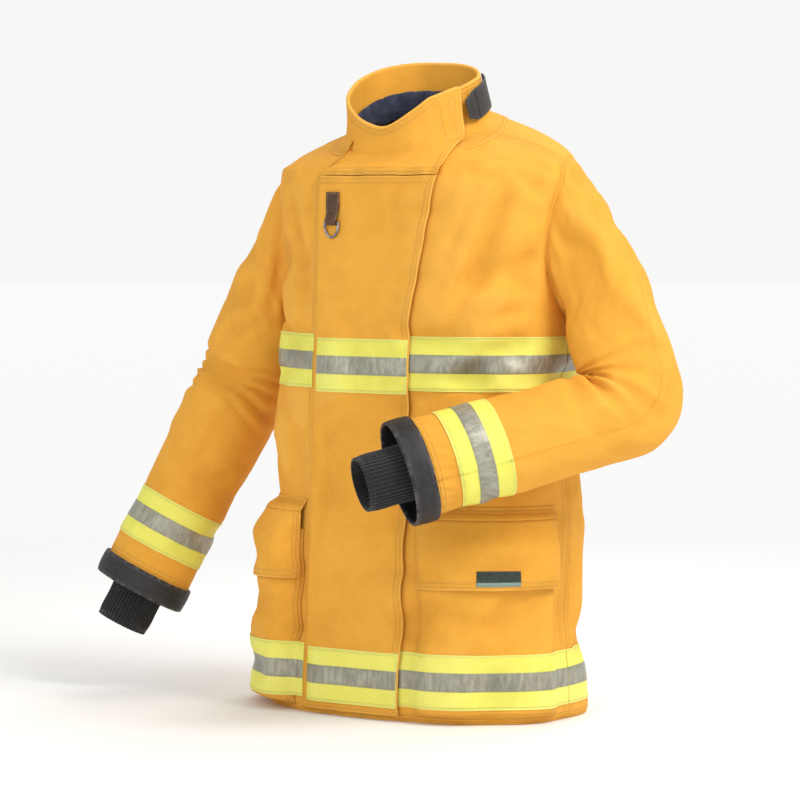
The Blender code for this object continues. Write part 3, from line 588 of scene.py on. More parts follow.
def cut_armholes(t, h):
    """Snaps the grid to the armholes' edges, and says which faces are kept."""
    share = armhole_share(base(t, h))
    near = np.abs(share - 1) < 0.038
    corners = np.stack([share[:-1, :-1], share[1:, :-1], share[:-1, 1:], share[1:, 1:]])
    keep = corners.mean(0) > 1.0
    used = np.zeros(share.shape, bool)
    for rows in (slice(None, -1), slice(1, None)):
        for cols in (slice(None, -1), slice(1, None)):
            used[rows, cols] |= keep
    move = near | (used & (share < 1))
    centre_t = np.where(t > 180, 270.0, np.sign(t) * 90.0)
    _, front, back, _ = ring(ARMHOLE["z"])
    along = (ARMHOLE["y"] - (front + back) / 2) / ((back - front) / 2)
    lean = np.degrees(np.arcsin(np.clip(along, -1, 1)))
    centre_t = centre_t + np.sign(np.where(t > 180, -1, t)) * lean

    def scaled(scale):
        return centre_t + (t - centre_t) * scale, ARMHOLE["z"] + (h - ARMHOLE["z"]) * scale

    low, high = np.full(t.shape, 0.5), np.full(t.shape, 2.5)
    for _ in range(26):
        middle = (low + high) / 2
        inside = armhole_share(base(*scaled(middle))) < 1
        low, high = np.where(inside, middle, low), np.where(inside, high, middle)
    return *scaled(np.where(move, (low + high) / 2, 1.0)), keep


# ---- Materials -------------------------------------------------------------------------------
class Shader:
    """A node material on one Principled BSDF, with short helpers for its nodes."""

    def __init__(self, name):
        self.material = bpy.data.materials.new(name)
        self.material.use_nodes = True
        self.tree = self.material.node_tree
        self.surface = self.tree.nodes["Principled BSDF"]
        cloth = self.tree.nodes.new("ShaderNodeAttribute")
        cloth.attribute_name = "cloth"
        edges = self.tree.nodes.new("ShaderNodeAttribute")
        edges.attribute_name = "edges"
        self.cloth = cloth.outputs["Vector"]
        self.u, self.v, _ = self.split(self.cloth)
        # relief is the fold height, from which some materials paint shade and highlight.
        self.du, self.dv, self.relief = self.split(edges.outputs["Vector"])

    def put(self, socket, value):
        if isinstance(value, bpy.types.NodeSocket):
            self.tree.links.new(value, socket)
        elif isinstance(value, tuple) and len(value) == 3 and socket.type == "RGBA":
            socket.default_value = (*value, 1.0)
        else:
            socket.default_value = value

    def split(self, vector):
        node = self.tree.nodes.new("ShaderNodeSeparateXYZ")
        self.put(node.inputs[0], vector)
        return node.outputs

    def math(self, operation, *values):
        node = self.tree.nodes.new("ShaderNodeMath")
        node.operation = operation
        for socket, value in zip(node.inputs, values):
            self.put(socket, value)
        return node.outputs[0]

    def ramp(self, value, low, high, to_low=0.0, to_high=1.0):
        node = self.tree.nodes.new("ShaderNodeMapRange")
        node.interpolation_type = "SMOOTHSTEP"
        for socket, each in zip(node.inputs, (value, low, high, to_low, to_high)):
            self.put(socket, each)
        return node.outputs[0]

    def mix(self, share, a, b):
        node = self.tree.nodes.new("ShaderNodeMix")
        node.data_type = "RGBA"
        self.put(node.inputs[0], share)
        self.put(node.inputs[6], a)
        self.put(node.inputs[7], b)
        return node.outputs[2]

    def scaled(self, x, y):
        """The cloth's own coordinates, with one unit every x mm across and y mm up."""
        node = self.tree.nodes.new("ShaderNodeVectorMath")
        node.operation = "MULTIPLY"
        self.put(node.inputs[0], self.cloth)
        self.put(node.inputs[1], (1 / x, 1 / y, 0.01))
        return node.outputs[0]

    def mottle(self, x, y=None, detail=3.0, rough=0.55):
        node = self.tree.nodes.new("ShaderNodeTexNoise")
        self.put(node.inputs["Vector"], self.scaled(x, y or x))
        self.put(node.inputs["Scale"], 1.0)
        self.put(node.inputs["Detail"], detail)
        self.put(node.inputs["Roughness"], rough)
        return node.outputs[0]

    def cells(self, size):
        node = self.tree.nodes.new("ShaderNodeTexVoronoi")
        self.put(node.inputs["Vector"], self.scaled(size, size))
        self.put(node.inputs["Scale"], 1.0)
        return node.outputs["Distance"]

    def wave(self, value, pitch, turn=0.0):
        """A sine of this value, from 0 to 1, that repeats every pitch mm."""
        angle = self.math("MULTIPLY_ADD", value, 2 * math.pi / pitch, turn)
        return self.math("MULTIPLY_ADD", self.math("SINE", angle), 0.5, 0.5)

    def line(self, value, at, half):
        """1 on a line where value is at, fading to 0 half away."""
        away = self.math("ABSOLUTE", self.math("SUBTRACT", value, at))
        return self.ramp(away, half * 0.5, half, 1.0, 0.0)

    def stitches(self, rows, pitch=3.6, half=0.55):
        """Dashed rows of thread this far in from the sewn edges."""
        total = 0.0
        for away, along in ((self.du, self.v), (self.dv, self.u)):
            gap = self.ramp(self.wave(along, pitch), 0.10, 0.32)
            for row in rows:
                total = self.math("MAXIMUM", total, self.math("MULTIPLY", self.line(away, row, half), gap))
        return total

    def bump(self, height, strength, distance):
        """Adds a height in units of distance mm to the bump that is already there."""
        node = self.tree.nodes.new("ShaderNodeBump")
        self.put(node.inputs["Height"], height)
        self.put(node.inputs["Strength"], strength)
        self.put(node.inputs["Distance"], distance * MM)
        normal = self.surface.inputs["Normal"]
        if normal.is_linked:
            self.put(node.inputs["Normal"], normal.links[0].from_socket)
        self.put(normal, node.outputs[0])

    def set(self, **values):
        for name, value in values.items():
            self.put(self.surface.inputs[name.replace("_", " ")], value)
        return self.material


def woven(
    name, light, dark, deep, thread, rows=(3.2, 9.4), weave=0.8, ripstop=6.0, sheen=0.25, rough=0.84
):
    """Woven cloth: two thread directions, a ripstop grid, mottling, rows of stitching along the sewn edges,
    painted shade in the fold valleys and stitch grooves, and painted highlight with some wear on the ridges."""
    s = Shader(name)
    broad, fine = s.mottle(170), s.mottle(26, 26, 4.0, 0.62)
    shade = s.math("MULTIPLY_ADD", fine, 0.45, s.math("MULTIPLY", broad, 0.55))
    colour = s.mix(s.ramp(shade, 0.32, 0.68), dark, light)
    slub = s.mottle(9, 0.9, 2.0)
    colour = s.mix(s.ramp(slub, 0.45, 0.75, 0.0, 0.10), colour, deep)
    # Painted shade: the colour turns towards deep where relief is below 0, in the fold valleys. Painted
    # highlight, with some wear: it turns towards thread on the ridges.
    colour = s.mix(s.ramp(s.relief, 0.0, -1.0, 0.0, 0.20), colour, deep)
    colour = s.mix(s.ramp(s.relief, 0.25, 1.0, 0.0, 0.16), colour, thread)
    near_edge = s.math("MINIMUM", s.du, s.dv)
    colour = s.mix(s.ramp(near_edge, 2.4, 0.0, 0.0, 0.30), colour, thread)
    a, b = s.wave(s.u, weave), s.wave(s.v, weave)
    twill = s.wave(s.math("ADD", s.u, s.v), weave * 2)
    cloth = s.math("MULTIPLY_ADD", twill, 0.6, s.math("MULTIPLY", a, b))
    if ripstop:
        lines = (s.ramp(s.wave(along, ripstop), 0.90, 1.0) for along in (s.u, s.v))
        grid = s.math("MAXIMUM", *lines)
        cloth = s.math("MULTIPLY_ADD", grid, 0.9, cloth)
        colour = s.mix(s.math("MULTIPLY", grid, 0.07), colour, deep)
    sewn = s.stitches(rows) if rows else 0.0
    if rows:
        groove = 0.0
        for row in rows:
            for away in (s.du, s.dv):
                groove = s.math("MAXIMUM", groove, s.line(away, row, 1.7))
        # Painted shade: the colour turns a little towards deep in the grooves beside the stitching.
        colour = s.mix(s.math("MULTIPLY", groove, 0.16), colour, deep)
        colour = s.mix(s.math("MULTIPLY", sewn, 0.75), colour, thread)
        pucker = s.math("MULTIPLY", s.ramp(near_edge, 15.0, 2.0), s.mottle(7, 7, 2.0))
        s.bump(s.math("SUBTRACT", pucker, groove), 0.75, 0.9)
        s.bump(sewn, 0.8, 0.5)
    s.bump(fine, 0.45, 2.2)
    s.bump(cloth, 0.35, 0.16)
    return s.set(
        Base_Color=colour,
        Roughness=s.ramp(fine, 0.3, 0.7, rough - 0.06, rough + 0.08),
        Sheen_Weight=sheen,
        Sheen_Roughness=0.45,
        Sheen_Tint=light,
        Specular_IOR_Level=0.28,
    )


def silver_tape():
    """Glass-bead reflective tape: fine beads over grey, with scuffs and heat-sealed ribs."""
    s = Shader("silver_tape")
    scuff, broad = s.mottle(6, 22, 4.0, 0.7), s.mottle(60)
    colour = s.mix(s.ramp(scuff, 0.35, 0.7), (0.27, 0.265, 0.21), (0.45, 0.44, 0.35))
    colour = s.mix(s.ramp(broad, 0.4, 0.7, 0.0, 0.35), colour, (0.19, 0.185, 0.16))
    # Painted shade: the tape turns darker in the fold valleys, where relief is below 0.
    colour = s.mix(s.ramp(s.relief, 0.0, -1.0, 0.0, 0.4), colour, (0.10, 0.10, 0.09))
    sewn = s.stitches((1.6,), 3.2, 0.5)
    colour = s.mix(s.math("MULTIPLY", sewn, 0.7), colour, (0.30, 0.31, 0.10))
    s.bump(s.cells(0.35), 0.35, 0.12)
    s.bump(scuff, 0.3, 0.5)
    s.bump(sewn, 0.6, 0.4)
    return s.set(
        Base_Color=colour,
        Roughness=s.ramp(scuff, 0.3, 0.7, 0.34, 0.52),
        Metallic=0.35,
        Specular_IOR_Level=0.5,
    )


def knit():
    """Ribbed knit: the ribs are in the mesh, and each carries its column of stitches."""
    s = Shader("black_knit")
    loop = s.wave(s.math("ADD", s.v, s.math("MULTIPLY", s.wave(s.u, 2.1), 0.6)), 1.6)
    fuzz = s.mottle(3, 3, 5.0, 0.7)
    colour = s.mix(s.ramp(fuzz, 0.3, 0.75), (0.008, 0.008, 0.009), (0.035, 0.034, 0.036))
    # Painted highlight: the knit turns lighter on the crests of its ribs, where relief is above 0.
    colour = s.mix(s.ramp(s.relief, 0.2, 1.0, 0.0, 0.5), colour, (0.055, 0.053, 0.055))
    s.bump(loop, 0.7, 0.45)
    s.bump(fuzz, 0.5, 0.5)
    return s.set(
        Base_Color=colour,
        Roughness=0.93,
        Sheen_Weight=0.35,
        Sheen_Roughness=0.4,
        Specular_IOR_Level=0.2,
    )


def leather(name, light, dark, worn, rough, rows=(2.2,)):
    """Leather or coated binding: grain, creases, scuffed edges and a row of stitching."""
    s = Shader(name)
    grain, crease_lines = s.cells(1.5), s.mottle(14, 5, 5.0, 0.65)
    colour = s.mix(s.ramp(crease_lines, 0.35, 0.7), dark, light)
    edge = s.math("MINIMUM", s.du, s.dv)
    scuff = s.math("MULTIPLY", s.ramp(edge, 2.8, 0.0), s.ramp(s.mottle(9), 0.42, 0.62))
    colour = s.mix(s.math("MULTIPLY", scuff, 0.65), colour, worn)
    sewn = s.stitches(rows, 3.4, 0.5)
    colour = s.mix(s.math("MULTIPLY", sewn, 0.6), colour, worn)
    s.bump(grain, 0.55, 0.3)
    s.bump(crease_lines, 0.5, 1.0)
    s.bump(sewn, 0.7, 0.45)
    return s.set(
        Base_Color=colour,
        Roughness=s.ramp(crease_lines, 0.3, 0.7, rough - 0.08, rough + 0.1),
        Specular_IOR_Level=0.45,
    )


def quilted():
    """Quilted lining: the quilting is in the mesh, and the face cloth is a fine navy weave."""
    s = Shader("navy_lining")
    fine = s.mottle(18, 18, 4.0, 0.6)
    colour = s.mix(s.ramp(fine, 0.3, 0.7), (0.020, 0.025, 0.050), (0.044, 0.052, 0.092))
    dashes = s.ramp(s.wave(s.math("ADD", s.u, s.v), 4.2), 0.2, 0.45)
    sewn = s.math("MULTIPLY", s.ramp(s.relief, -0.55, -0.9), dashes)
    colour = s.mix(s.math("MULTIPLY", sewn, 0.5), colour, (0.10, 0.13, 0.24))
    weave = s.math("MULTIPLY", s.wave(s.u, 0.9), s.wave(s.v, 0.9))
    s.bump(sewn, 0.5, 0.4)
    s.bump(fine, 0.4, 1.2)
    s.bump(weave, 0.3, 0.15)
    return s.set(Base_Color=colour, Roughness=0.86, Sheen_Weight=0.2, Specular_IOR_Level=0.25)


def film():
    """The moisture barrier: a pale film on thin cloth, with taped seams and soft creasing."""
    s = Shader("barrier_film")
    crumple = s.mottle(22, 30, 5.0, 0.6)
    colour = s.mix(s.ramp(crumple, 0.3, 0.7), (0.60, 0.57, 0.48), (0.74, 0.71, 0.62))
    s.bump(crumple, 0.5, 1.6)
    s.bump(s.math("MULTIPLY", s.wave(s.u, 1.1), s.wave(s.v, 1.1)), 0.2, 0.12)
    return s.set(Base_Color=colour, Roughness=0.48, Specular_IOR_Level=0.45)


def webbing(name, light, dark, hooks=False):
    """Black narrow webbing, or the pile or hooks of hook-and-loop."""
    s = Shader(name)
    fuzz = s.mottle(2.2, 2.2, 4.0, 0.75)
    colour = s.mix(s.ramp(fuzz, 0.3, 0.75), dark, light)
    if hooks:
        texture = s.ramp(s.cells(1.3), 0.1, 0.55, 1.0, 0.0)
    else:
        ribs = s.wave(s.v, 1.7)
        across = s.math("ADD", s.u, s.math("MULTIPLY", ribs, 0.8))
        texture = s.math("MULTIPLY_ADD", s.wave(across, 1.3), 0.5, ribs)
    edge = s.math("MINIMUM", s.du, s.dv)
    colour = s.mix(s.ramp(edge, 1.6, 0.0, 0.0, 0.4), colour, (0.07, 0.07, 0.068))
    sewn = s.stitches((2.6,), 3.2, 0.5)
    colour = s.mix(s.math("MULTIPLY", sewn, 0.5), colour, (0.10, 0.10, 0.095))
    s.bump(texture, 0.7, 0.4)
    s.bump(fuzz, 0.5, 0.4)
    return s.set(Base_Color=colour, Roughness=0.88, Sheen_Weight=0.2, Specular_IOR_Level=0.25)


def metal(name, light, dark, rough):
    """Cast metal with brushed lines, tarnish in patches and brighter, smoother worn places."""
    s = Shader(name)
    place = s.tree.nodes.new("ShaderNodeTexCoord")
    brush = s.tree.nodes.new("ShaderNodeTexNoise")
    s.put(brush.inputs["Vector"], place.outputs["Object"])
    s.put(brush.inputs["Scale"], 900.0)
    s.put(brush.inputs["Detail"], 4.0)
    patch = s.tree.nodes.new("ShaderNodeTexNoise")
    s.put(patch.inputs["Vector"], place.outputs["Object"])
    s.put(patch.inputs["Scale"], 130.0)
    worn = s.ramp(patch.outputs[0], 0.4, 0.62)
    colour = s.mix(worn, dark, light)
    s.bump(brush.outputs[0], 0.25, 0.15)
    return s.set(
        Base_Color=colour,
        Metallic=1.0,
        Roughness=s.ramp(worn, 0.0, 1.0, rough + 0.16, rough),
    )


def patch_label():
    """A blank dark woven patch with a paler woven band along its foot."""
    s = Shader("label")
    satin = s.wave(s.math("ADD", s.u, s.v), 0.9)
    fine = s.mottle(6, 3, 3.0)
    colour = s.mix(s.ramp(fine, 0.3, 0.7), (0.006, 0.016, 0.012), (0.020, 0.040, 0.032))
    foot = s.ramp(s.v, 5.6, 5.0)
    colour = s.mix(foot, colour, (0.20, 0.30, 0.27))
    sewn = s.stitches((1.3,), 2.6, 0.4)
    colour = s.mix(s.math("MULTIPLY", sewn, 0.5), colour, (0.09, 0.11, 0.09))
    s.bump(satin, 0.4, 0.15)
    s.bump(sewn, 0.6, 0.3)
    return s.set(Base_Color=colour, Roughness=0.62, Sheen_Weight=0.15)


# The colours are light, dark, deep and thread for cloth. Deep also paints the shade in fold valleys and
# stitch grooves, and thread paints the highlight on fold ridges.
GOLDS = ((0.82, 0.405, 0.052), (0.74, 0.345, 0.036), (0.50, 0.18, 0.012), (0.90, 0.52, 0.12))
LIMES = ((0.83, 0.80, 0.155), (0.75, 0.72, 0.105), (0.42, 0.41, 0.03), (0.93, 0.92, 0.35))
BLACKS = ((0.026, 0.024, 0.026), (0.010, 0.009, 0.010), (0.11, 0.10, 0.10))
BROWNS = ((0.115, 0.052, 0.018), (0.055, 0.024, 0.008), (0.26, 0.15, 0.07))
GOLD = woven("gold_fabric", *GOLDS)
GOLD_PLAIN = woven("gold_fabric_unsewn", *GOLDS, rows=())
LIME = woven("lime_tape", *LIMES, rows=(2.4,), weave=1.1, ripstop=0, sheen=0.1, rough=0.62)
SILVER = silver_tape()
KNIT = knit()
CUFF = leather("black_leather", *BLACKS, 0.55, (3.0, 26.0))
BROWN = leather("brown_leather", *BROWNS, 0.5)
NAVY = quilted()
FILM = film()
WEBBING = webbing("black_webbing", (0.034, 0.034, 0.033), (0.011, 0.011, 0.011))
PILE = webbing("hook_and_loop", (0.030, 0.030, 0.030), (0.009, 0.009, 0.009), hooks=True)
BRASS = metal("brass", (0.74, 0.54, 0.22), (0.36, 0.25, 0.09), 0.26)
STEEL = metal("dull_steel", (0.58, 0.55, 0.60), (0.24, 0.22, 0.26), 0.28)
LABEL = patch_label()


# ---- The coat's body -------------------------------------------------------------------------
def span_grid(start, end, h, step=CELL):
    """Angles from start to end, each a number or one for every row of h, evenly spaced."""
    a, b = (np.broadcast_to(arc_of(t), h.shape) for t in (start, end))
    count = max(int(np.abs(b - a).max() / step), 1) + 1
    return angle_of(a + (b - a) * np.linspace(0, 1, count))


def x_grid(start, end, h, step=CELL):
    """Angles at even x, for pieces with straight upright edges on the front."""
    start, end = np.broadcast_arrays(start, end, h)[:2]
    count = max(int(np.abs(end - start).max() / step), 1) + 1
    return angle_at_x(start + (end - start) * np.linspace(0, 1, count), h)


def column(low, high, step=CELL):
    return levels(low, high, step)[:, None]


def shells():
    h = column(0, NECK)
    gap = angle_at_x(FRONT_GAP, h)
    spans = {
        "right_front": (-89.95, -gap),
        "left_front": (gap, 89.95),
        "back": (90.05, 269.95),
    }
    for name, (start, end) in spans.items():
        t = span_grid(start, end, h)
        node = "outer_shell_" + name
        body_sheet("shell_" + name, t, h, 0.0, 1.5, (GOLD, GOLD_PLAIN), "torso", "gold_fabric", [node], True)


RIM_TURN = np.linspace(-180, 180, 721)
RIM_LINE = np.interp(RIM_TURN, *RIM_HEIGHTS.T)
for _ in range(60):
    RIM_LINE = (np.roll(RIM_LINE[:-1], 1) + RIM_LINE[:-1] * 2 + np.roll(RIM_LINE[:-1], -1)) / 4
    RIM_LINE = np.append(RIM_LINE, RIM_LINE[0])


def rim_height(t):
    return np.interp((np.asarray(t) + 180) % 360 - 180, RIM_TURN, RIM_LINE)


def inner_layers():
    """The moisture barrier, and the quilted liner, which carries on up inside the collar."""
    t = between(2.0, 358.0, 9.0)[None, :]
    h = column(LINING_FOOT, 799, 9.0)
    options = dict(hole=True, plain="tlr")
    body_sheet("barrier", t, h, -5.6, 1.0, FILM, "torso", "barrier_film", ["moisture_barrier"], **options)
    top = rim_height(t) - 40
    share = np.linspace(0, 1, 96)[:, None]
    h = LINING_FOOT + (top - LINING_FOOT) * share
    a, b = (arc_of(t) + h) / 62, (arc_of(t) - h) / 62
    line = np.maximum(bell(np.sin(np.pi * a) * 4.5), bell(np.sin(np.pi * b) * 4.5))
    lap = 3.6 * bell(((t + 300) % 360 - 15) / 34) * smooth((h - 790) / 20)
    t, h, keep = cut_armholes(*np.broadcast_arrays(t, h))
    points = stand(t, h, -8.4 - lap)
    obj = sheet("liner", points, 4.2 - 2.4 * line, NAVY, keep=keep, plain="lr", relief=-line)
    finish_piece(obj, "torso", "navy_lining", "thermal_liner")


def pocket_face(side, t, h):
    """How far the outer face of the bellows pocket stands out; nothing at its sewn edges."""
    start, end = POCKET_SPAN[side]
    foot_depth, top_depth = POCKET_DEPTH[side]
    up = np.clip((h - POCKET_BASE) / (POCKET_TOP - POCKET_BASE), 0, 1)
    full = (foot_depth + (top_depth - foot_depth) * up) * (1 - 0.35 * np.clip((h - 228) / 24, 0, 1))
    side_ramp = 1 - (1 - np.clip(np.minimum(t - start, end - t) / POCKET_RAMP, 0, 1)) ** 1.7
    foot_ramp = 1 - (1 - np.clip((h - POCKET_BASE) / 11, 0, 1)) ** 1.7
    inside = smooth(np.minimum(t - start, end - t) / 2.2 + 1)
    sag = 1 + 0.05 * np.sin(np.radians((t - start) / (end - start) * 360 * 1.5 + h * 0.9))
    return inside * 1.8 + full * side_ramp * foot_ramp * np.minimum(sag, 1.0)


def pockets():
    for side in ARMS:
        start, end = POCKET_SPAN[side]
        h = column(POCKET_BASE, POCKET_TOP, 5.0)
        t = span_grid(start, end, h, 4.0)
        out = pocket_face(side, t, h)
        body_sheet(side + "_pocket_bag", t, h, out, 1.2, GOLD, "torso", "gold_fabric", [side + "_pocket"])
        h = column(POCKET_FLAP[0] + 6, POCKET_FLAP[0] + 26, 5.0)
        t = span_grid(start + 15, end - 15, h)
        out = pocket_face(side, t, h) + 1.3
        node = side + "_pocket_loop"
        body_sheet(side + "_pocket_pile", t, h, out, 0.9, PILE, "torso", "black_webbing", [node])
        pocket_flap(side, start, end)


def flap_face(side, t, h):
    """The outer face of a pocket flap: full over the pocket, turned down at its two sides."""
    start, end = POCKET_SPAN[side]
    face, top_face = FLAP_FACE[side], FLAP_TOP_FACE[side]
    up = smooth((h - POCKET_FLAP[1] + FLAP_SLANT) / FLAP_SLANT * 0.9)
    full = face + (top_face - face) * up
    ramp = 1 - (1 - np.clip(np.minimum(t - start, end - t) / POCKET_RAMP, 0, 1)) ** 2.2
    return 8.4 + (full + 2.0 - 8.4) * ramp


def pocket_flap(side, start, end):
    body = side + "_pocket_flap"
    h = column(*POCKET_FLAP, 4.0)
    t = span_grid(start, end, h, 4.0)
    out = flap_face(side, t, h)
    body_sheet(body + "_cloth", t, h, out, 2.0, GOLD, body, "gold_fabric", [body], plain="T")
    h = column(POCKET_FLAP[1] + 0.4, POCKET_FLAP[1] + 17, 3.0)
    down = smooth((h - POCKET_FLAP[1]) / 16)
    out = flap_face(side, t[:1], POCKET_FLAP[1]) * (1 - down) + 1.9 * down
    body_sheet(body + "_root", t[:1], h, out, 1.6, GOLD, "torso", "gold_fabric", plain="B")
    h = column(POCKET_FLAP[0] + 6, POCKET_FLAP[0] + 26, 5.0)
    t = span_grid(start + 15, end - 15, h)
    out = FLAP_FACE[side] - 0.4
    body_sheet(body + "_hooks", t, h, out, 0.9, PILE, body, "black_webbing", [body + "_hook"])
    if side == "left":
        h = column(189, 209, 2.5)
        t = span_grid(42, 60, h, 3.0)
        out = FLAP_FACE[side] + 3.1
        body_sheet("left_pocket_label", t, h, out, 0.8, LABEL, body, "label", ["pocket_label"])


def over_pockets(t, h):
    """How far out the hem tape's outer face lies, on the cloth or on a pocket."""
    turned = (t + 180) % 360 - 180
    out = np.full(np.broadcast(t, h).shape, 1.4)
    for side in ARMS:
        face = pocket_face(side, turned, h)
        out = np.maximum(out, face + 1.6 * smooth(face / 1.8))
    return out


def tape(name, t, low, out, body, nodes, plain=""):
    """A lime tape with its silver stripe, which is a second sheet on it. t and out are functions."""
    h = column(low, low + TRIM_WIDTH, 4.7)
    body_sheet(name + "_lime", t(h), h, out(t(h), h), 0.8, LIME, body, "lime_tape", nodes, plain=plain)
    edge = (TRIM_WIDTH - SILVER_WIDTH) / 2
    h = column(low + edge, low + edge + SILVER_WIDTH, 4.7)
    body_sheet(name + "_silver", t(h), h, out(t(h), h) + 0.55, 0.4, SILVER, body, "lime_tape", plain=plain)


def root_face(t, h):
    """The outer face of the strip that the storm flap is sewn to, and how far a point is over it."""
    x = base(t, h)[..., 0]
    share = (x - ROOT_X) / (FLAP_HINGE_X - 1.5 - ROOT_X)
    return 3.2 + 3.3 * smooth(share), smooth((x - ROOT_X + 6.5) / 5)


def over_root(out):
    """The same height for a tape, raised where it crosses the storm flap's root."""

    def raised(t, h):
        low, (face, over) = out(t, h), root_face(t, h)
        return low + (np.maximum(face + 1.2, low) - low) * over

    return raised


def body_trims():
    for name, low, out in (("chest", CHEST_TRIM, lambda t, h: 1.4), ("hem", HEM_TRIM, over_pockets)):
        spans = {
            "left": lambda h: span_grid(angle_at_x(LEFT_TRIM_X, h), 89.9, h, 5.0),
            "right": lambda h: span_grid(-89.9, angle_at_x(RIGHT_TRIM_X, h), h, 2.6),
            "back": lambda h: span_grid(90.1, 269.9, h, 5.0),
        }
        for side, t in spans.items():
            height = over_root(out) if side == "right" else out
            tape(f"{name}_tape_{side}", t, low, height, "torso", [f"{name}_trim_{side}"], "lr")


def storm_flap():
    h = column(FLAP_BASE, FLAP_TOP)
    free = FLAP_FREE_X + FLARE * np.clip((h - FLARE_FROM) / (FLAP_TOP - FLARE_FROM), 0, 1)
    t = x_grid(FLAP_HINGE_X, free, h, 5.0)
    gold = (GOLD, GOLD_PLAIN)
    body_sheet("flap_cloth", t, h, 7.0, 2.0, gold, "storm_flap", "gold_fabric", ["storm_flap"], plain="l")
    t = x_grid(ROOT_X, FLAP_HINGE_X - 1.5, h, 2.1)
    out = root_face(t, h)[0]
    body_sheet("flap_root", t, h, out, 1.6, gold, "torso", "gold_fabric", plain="Rbt")
    for name, low in (("chest", CHEST_TRIM - 5), ("hem", HEM_TRIM - 3)):
        tape(
            f"flap_{name}_tape",
            lambda h: x_grid(FLAP_HINGE_X + 4, FLAP_FREE_X - 1, h, 5.0),
            low,
            lambda t, h: 8.3,
            "storm_flap",
            [f"storm_flap_{name}_trim"],
            "l",
        )
    h = column(*HOOK_SPAN)
    t = x_grid(*HOOK_X, h)
    body_sheet("flap_hooks", t, h, 4.3, 1.2, PILE, "storm_flap", "black_webbing", ["storm_flap_hook"])
    body_sheet("front_pile", t, h, 2.7, 0.9, PILE, "torso", "black_webbing", ["front_loop_strip"])


# ---- Collar ----------------------------------------------------------------------------------
THROAT_LOW, THROAT_X = 752.0, (-98.0, 98.0)
COLLAR_FOOT = 801.0
COLLAR_START, COLLAR_END = 58.0, 431.0


def collar():
    """One padded sheet wound from under its own end, round the back, to the lap on the wearer's
    left. In front of the throat it runs down to the storm flap."""
    neck_t = between(COLLAR_START, COLLAR_END, 4.0)[None, :]
    x_neck = base(neck_t, NECK)[..., 0]
    front = neck_t > 270
    x_start = -62.0
    x_end = float(base(COLLAR_END, NECK)[0])
    inside = front & (x_neck >= x_start)
    share = np.linspace(0, 1, 40)[:, None]
    low = np.where(inside, THROAT_LOW, COLLAR_FOOT)
    rim = rim_height(neck_t)
    h = low + (rim - low) * share
    down = np.clip((NECK - h) / (NECK - THROAT_LOW), 0, 1)
    x_low = THROAT_X[0] + (x_neck - x_start) * (THROAT_X[1] - THROAT_X[0]) / (x_end - x_start)
    x = x_neck + (x_low - x_neck) * down
    t = np.where(inside & (h < NECK), angle_at_x(x, h) + 360, neck_t)
    lean = np.clip((h - NECK) / 70, 0, 1)
    t = t + 9.0 * lean * smooth((neck_t - 400) / 30)
    # Its face comes out towards its foot, more down the throat and on the end that laps over, and
    # goes in at the end that lies under.
    out = 1.6 * (1 - smooth((h - 815) / 25)) + 0.3
    out = out + 5.1 * smooth((796 - h) / 40)
    out = out + 2.7 * smooth((neck_t - 390) / 30) * smooth((h - 780) / 30)
    out = out - 5.6 * (1 - smooth((neck_t - 66) / 36)) * smooth((h - 800) / 8)
    # The padding is uneven, but flat behind the throat tab.
    behind_tab = bell((neck_t - 145) / 45)
    soft = 2.0 * noise(neck_t / 22, h / 60, 11) * smooth((h - 806) / 20)
    soft = soft * (1 - behind_tab) - 0.4 * behind_tab
    wall = 1.3 + 0.7 * smooth((h - THROAT_LOW) / 30) + 3.6 * smooth((h - 809) / 8)
    points = stand(t, h, out + soft)
    rim_points = np.concatenate([points[0], points[-1], points[:, 0], points[:, -1]])
    edge = np.sqrt(((points[:, :, None] - rim_points) ** 2).sum(-1)).min(-1)
    # The padding's dips and swells go on as relief, for painted shade in the dips and painted highlight on
    # the swells.
    obj = sheet("collar_cloth", points, wall, (GOLD, GOLD_PLAIN), from_edge=edge, relief=soft / 3)
    finish_piece(obj, "torso", "gold_fabric", "collar_shell", "collar_facing")


def throat_tab():
    """A strap whose free end, towards the front, is narrower and stands further off the collar."""
    centre, half = 841.0, 19.0
    h = column(centre - half, centre + half, 2.4)
    t = span_grid(80.0, 138.4, h, 2.4)
    across = (140 - t) / 60
    narrow = 1 - 0.35 * smooth((across - 0.82) / 0.18)
    h = centre + (h - centre) * narrow
    out = 5.1 + 5.2 * across**2
    points = stand(t, h, out)
    obj = sheet("collar_tab", points, 2.1, WEBBING)
    finish_piece(obj, "throat_tab", "black_webbing", "throat_tab")


def hanger_loop():
    """A strap bent into a loop that stands on its two sewn ends."""
    turn = np.linspace(-math.pi / 2, math.pi / 2, 49)
    x = 29.5 * np.sign(np.sin(turn)) * np.abs(np.sin(turn)) ** 0.5
    z = 800.0 + 28.0 * np.abs(np.cos(turn)) ** 0.42
    y = np.linspace(114, 102, 7)[:, None] + 0 * x
    points = np.stack([np.broadcast_to(x, y.shape), y, np.broadcast_to(z, y.shape)], -1)
    if grid_normals(points)[3, 24, 2] < 0:
        points = points[::-1]
    finish_piece(sheet("loop_strap", points, 2.2, WEBBING), "hanger_loop", "black_webbing", "hanger_loop")


# ---- Small parts on the front ----------------------------------------------------------------
ZIP = (32.0, 728.0)
ZIP_Y = np.interp(ZIP, STATIONS[:, 0], STATIONS[:, 2])
TOOTH_PITCH = 3.0


def front_point(x, h, out):
    """Points on the straight line of the zip, out mm in front of the coat."""
    y = ZIP_Y[0] + (ZIP_Y[1] - ZIP_Y[0]) * (h - ZIP[0]) / (ZIP[1] - ZIP[0])
    x, y = np.broadcast_arrays(x, y - out)
    return np.stack([x, y, np.broadcast_to(h, x.shape)], -1)


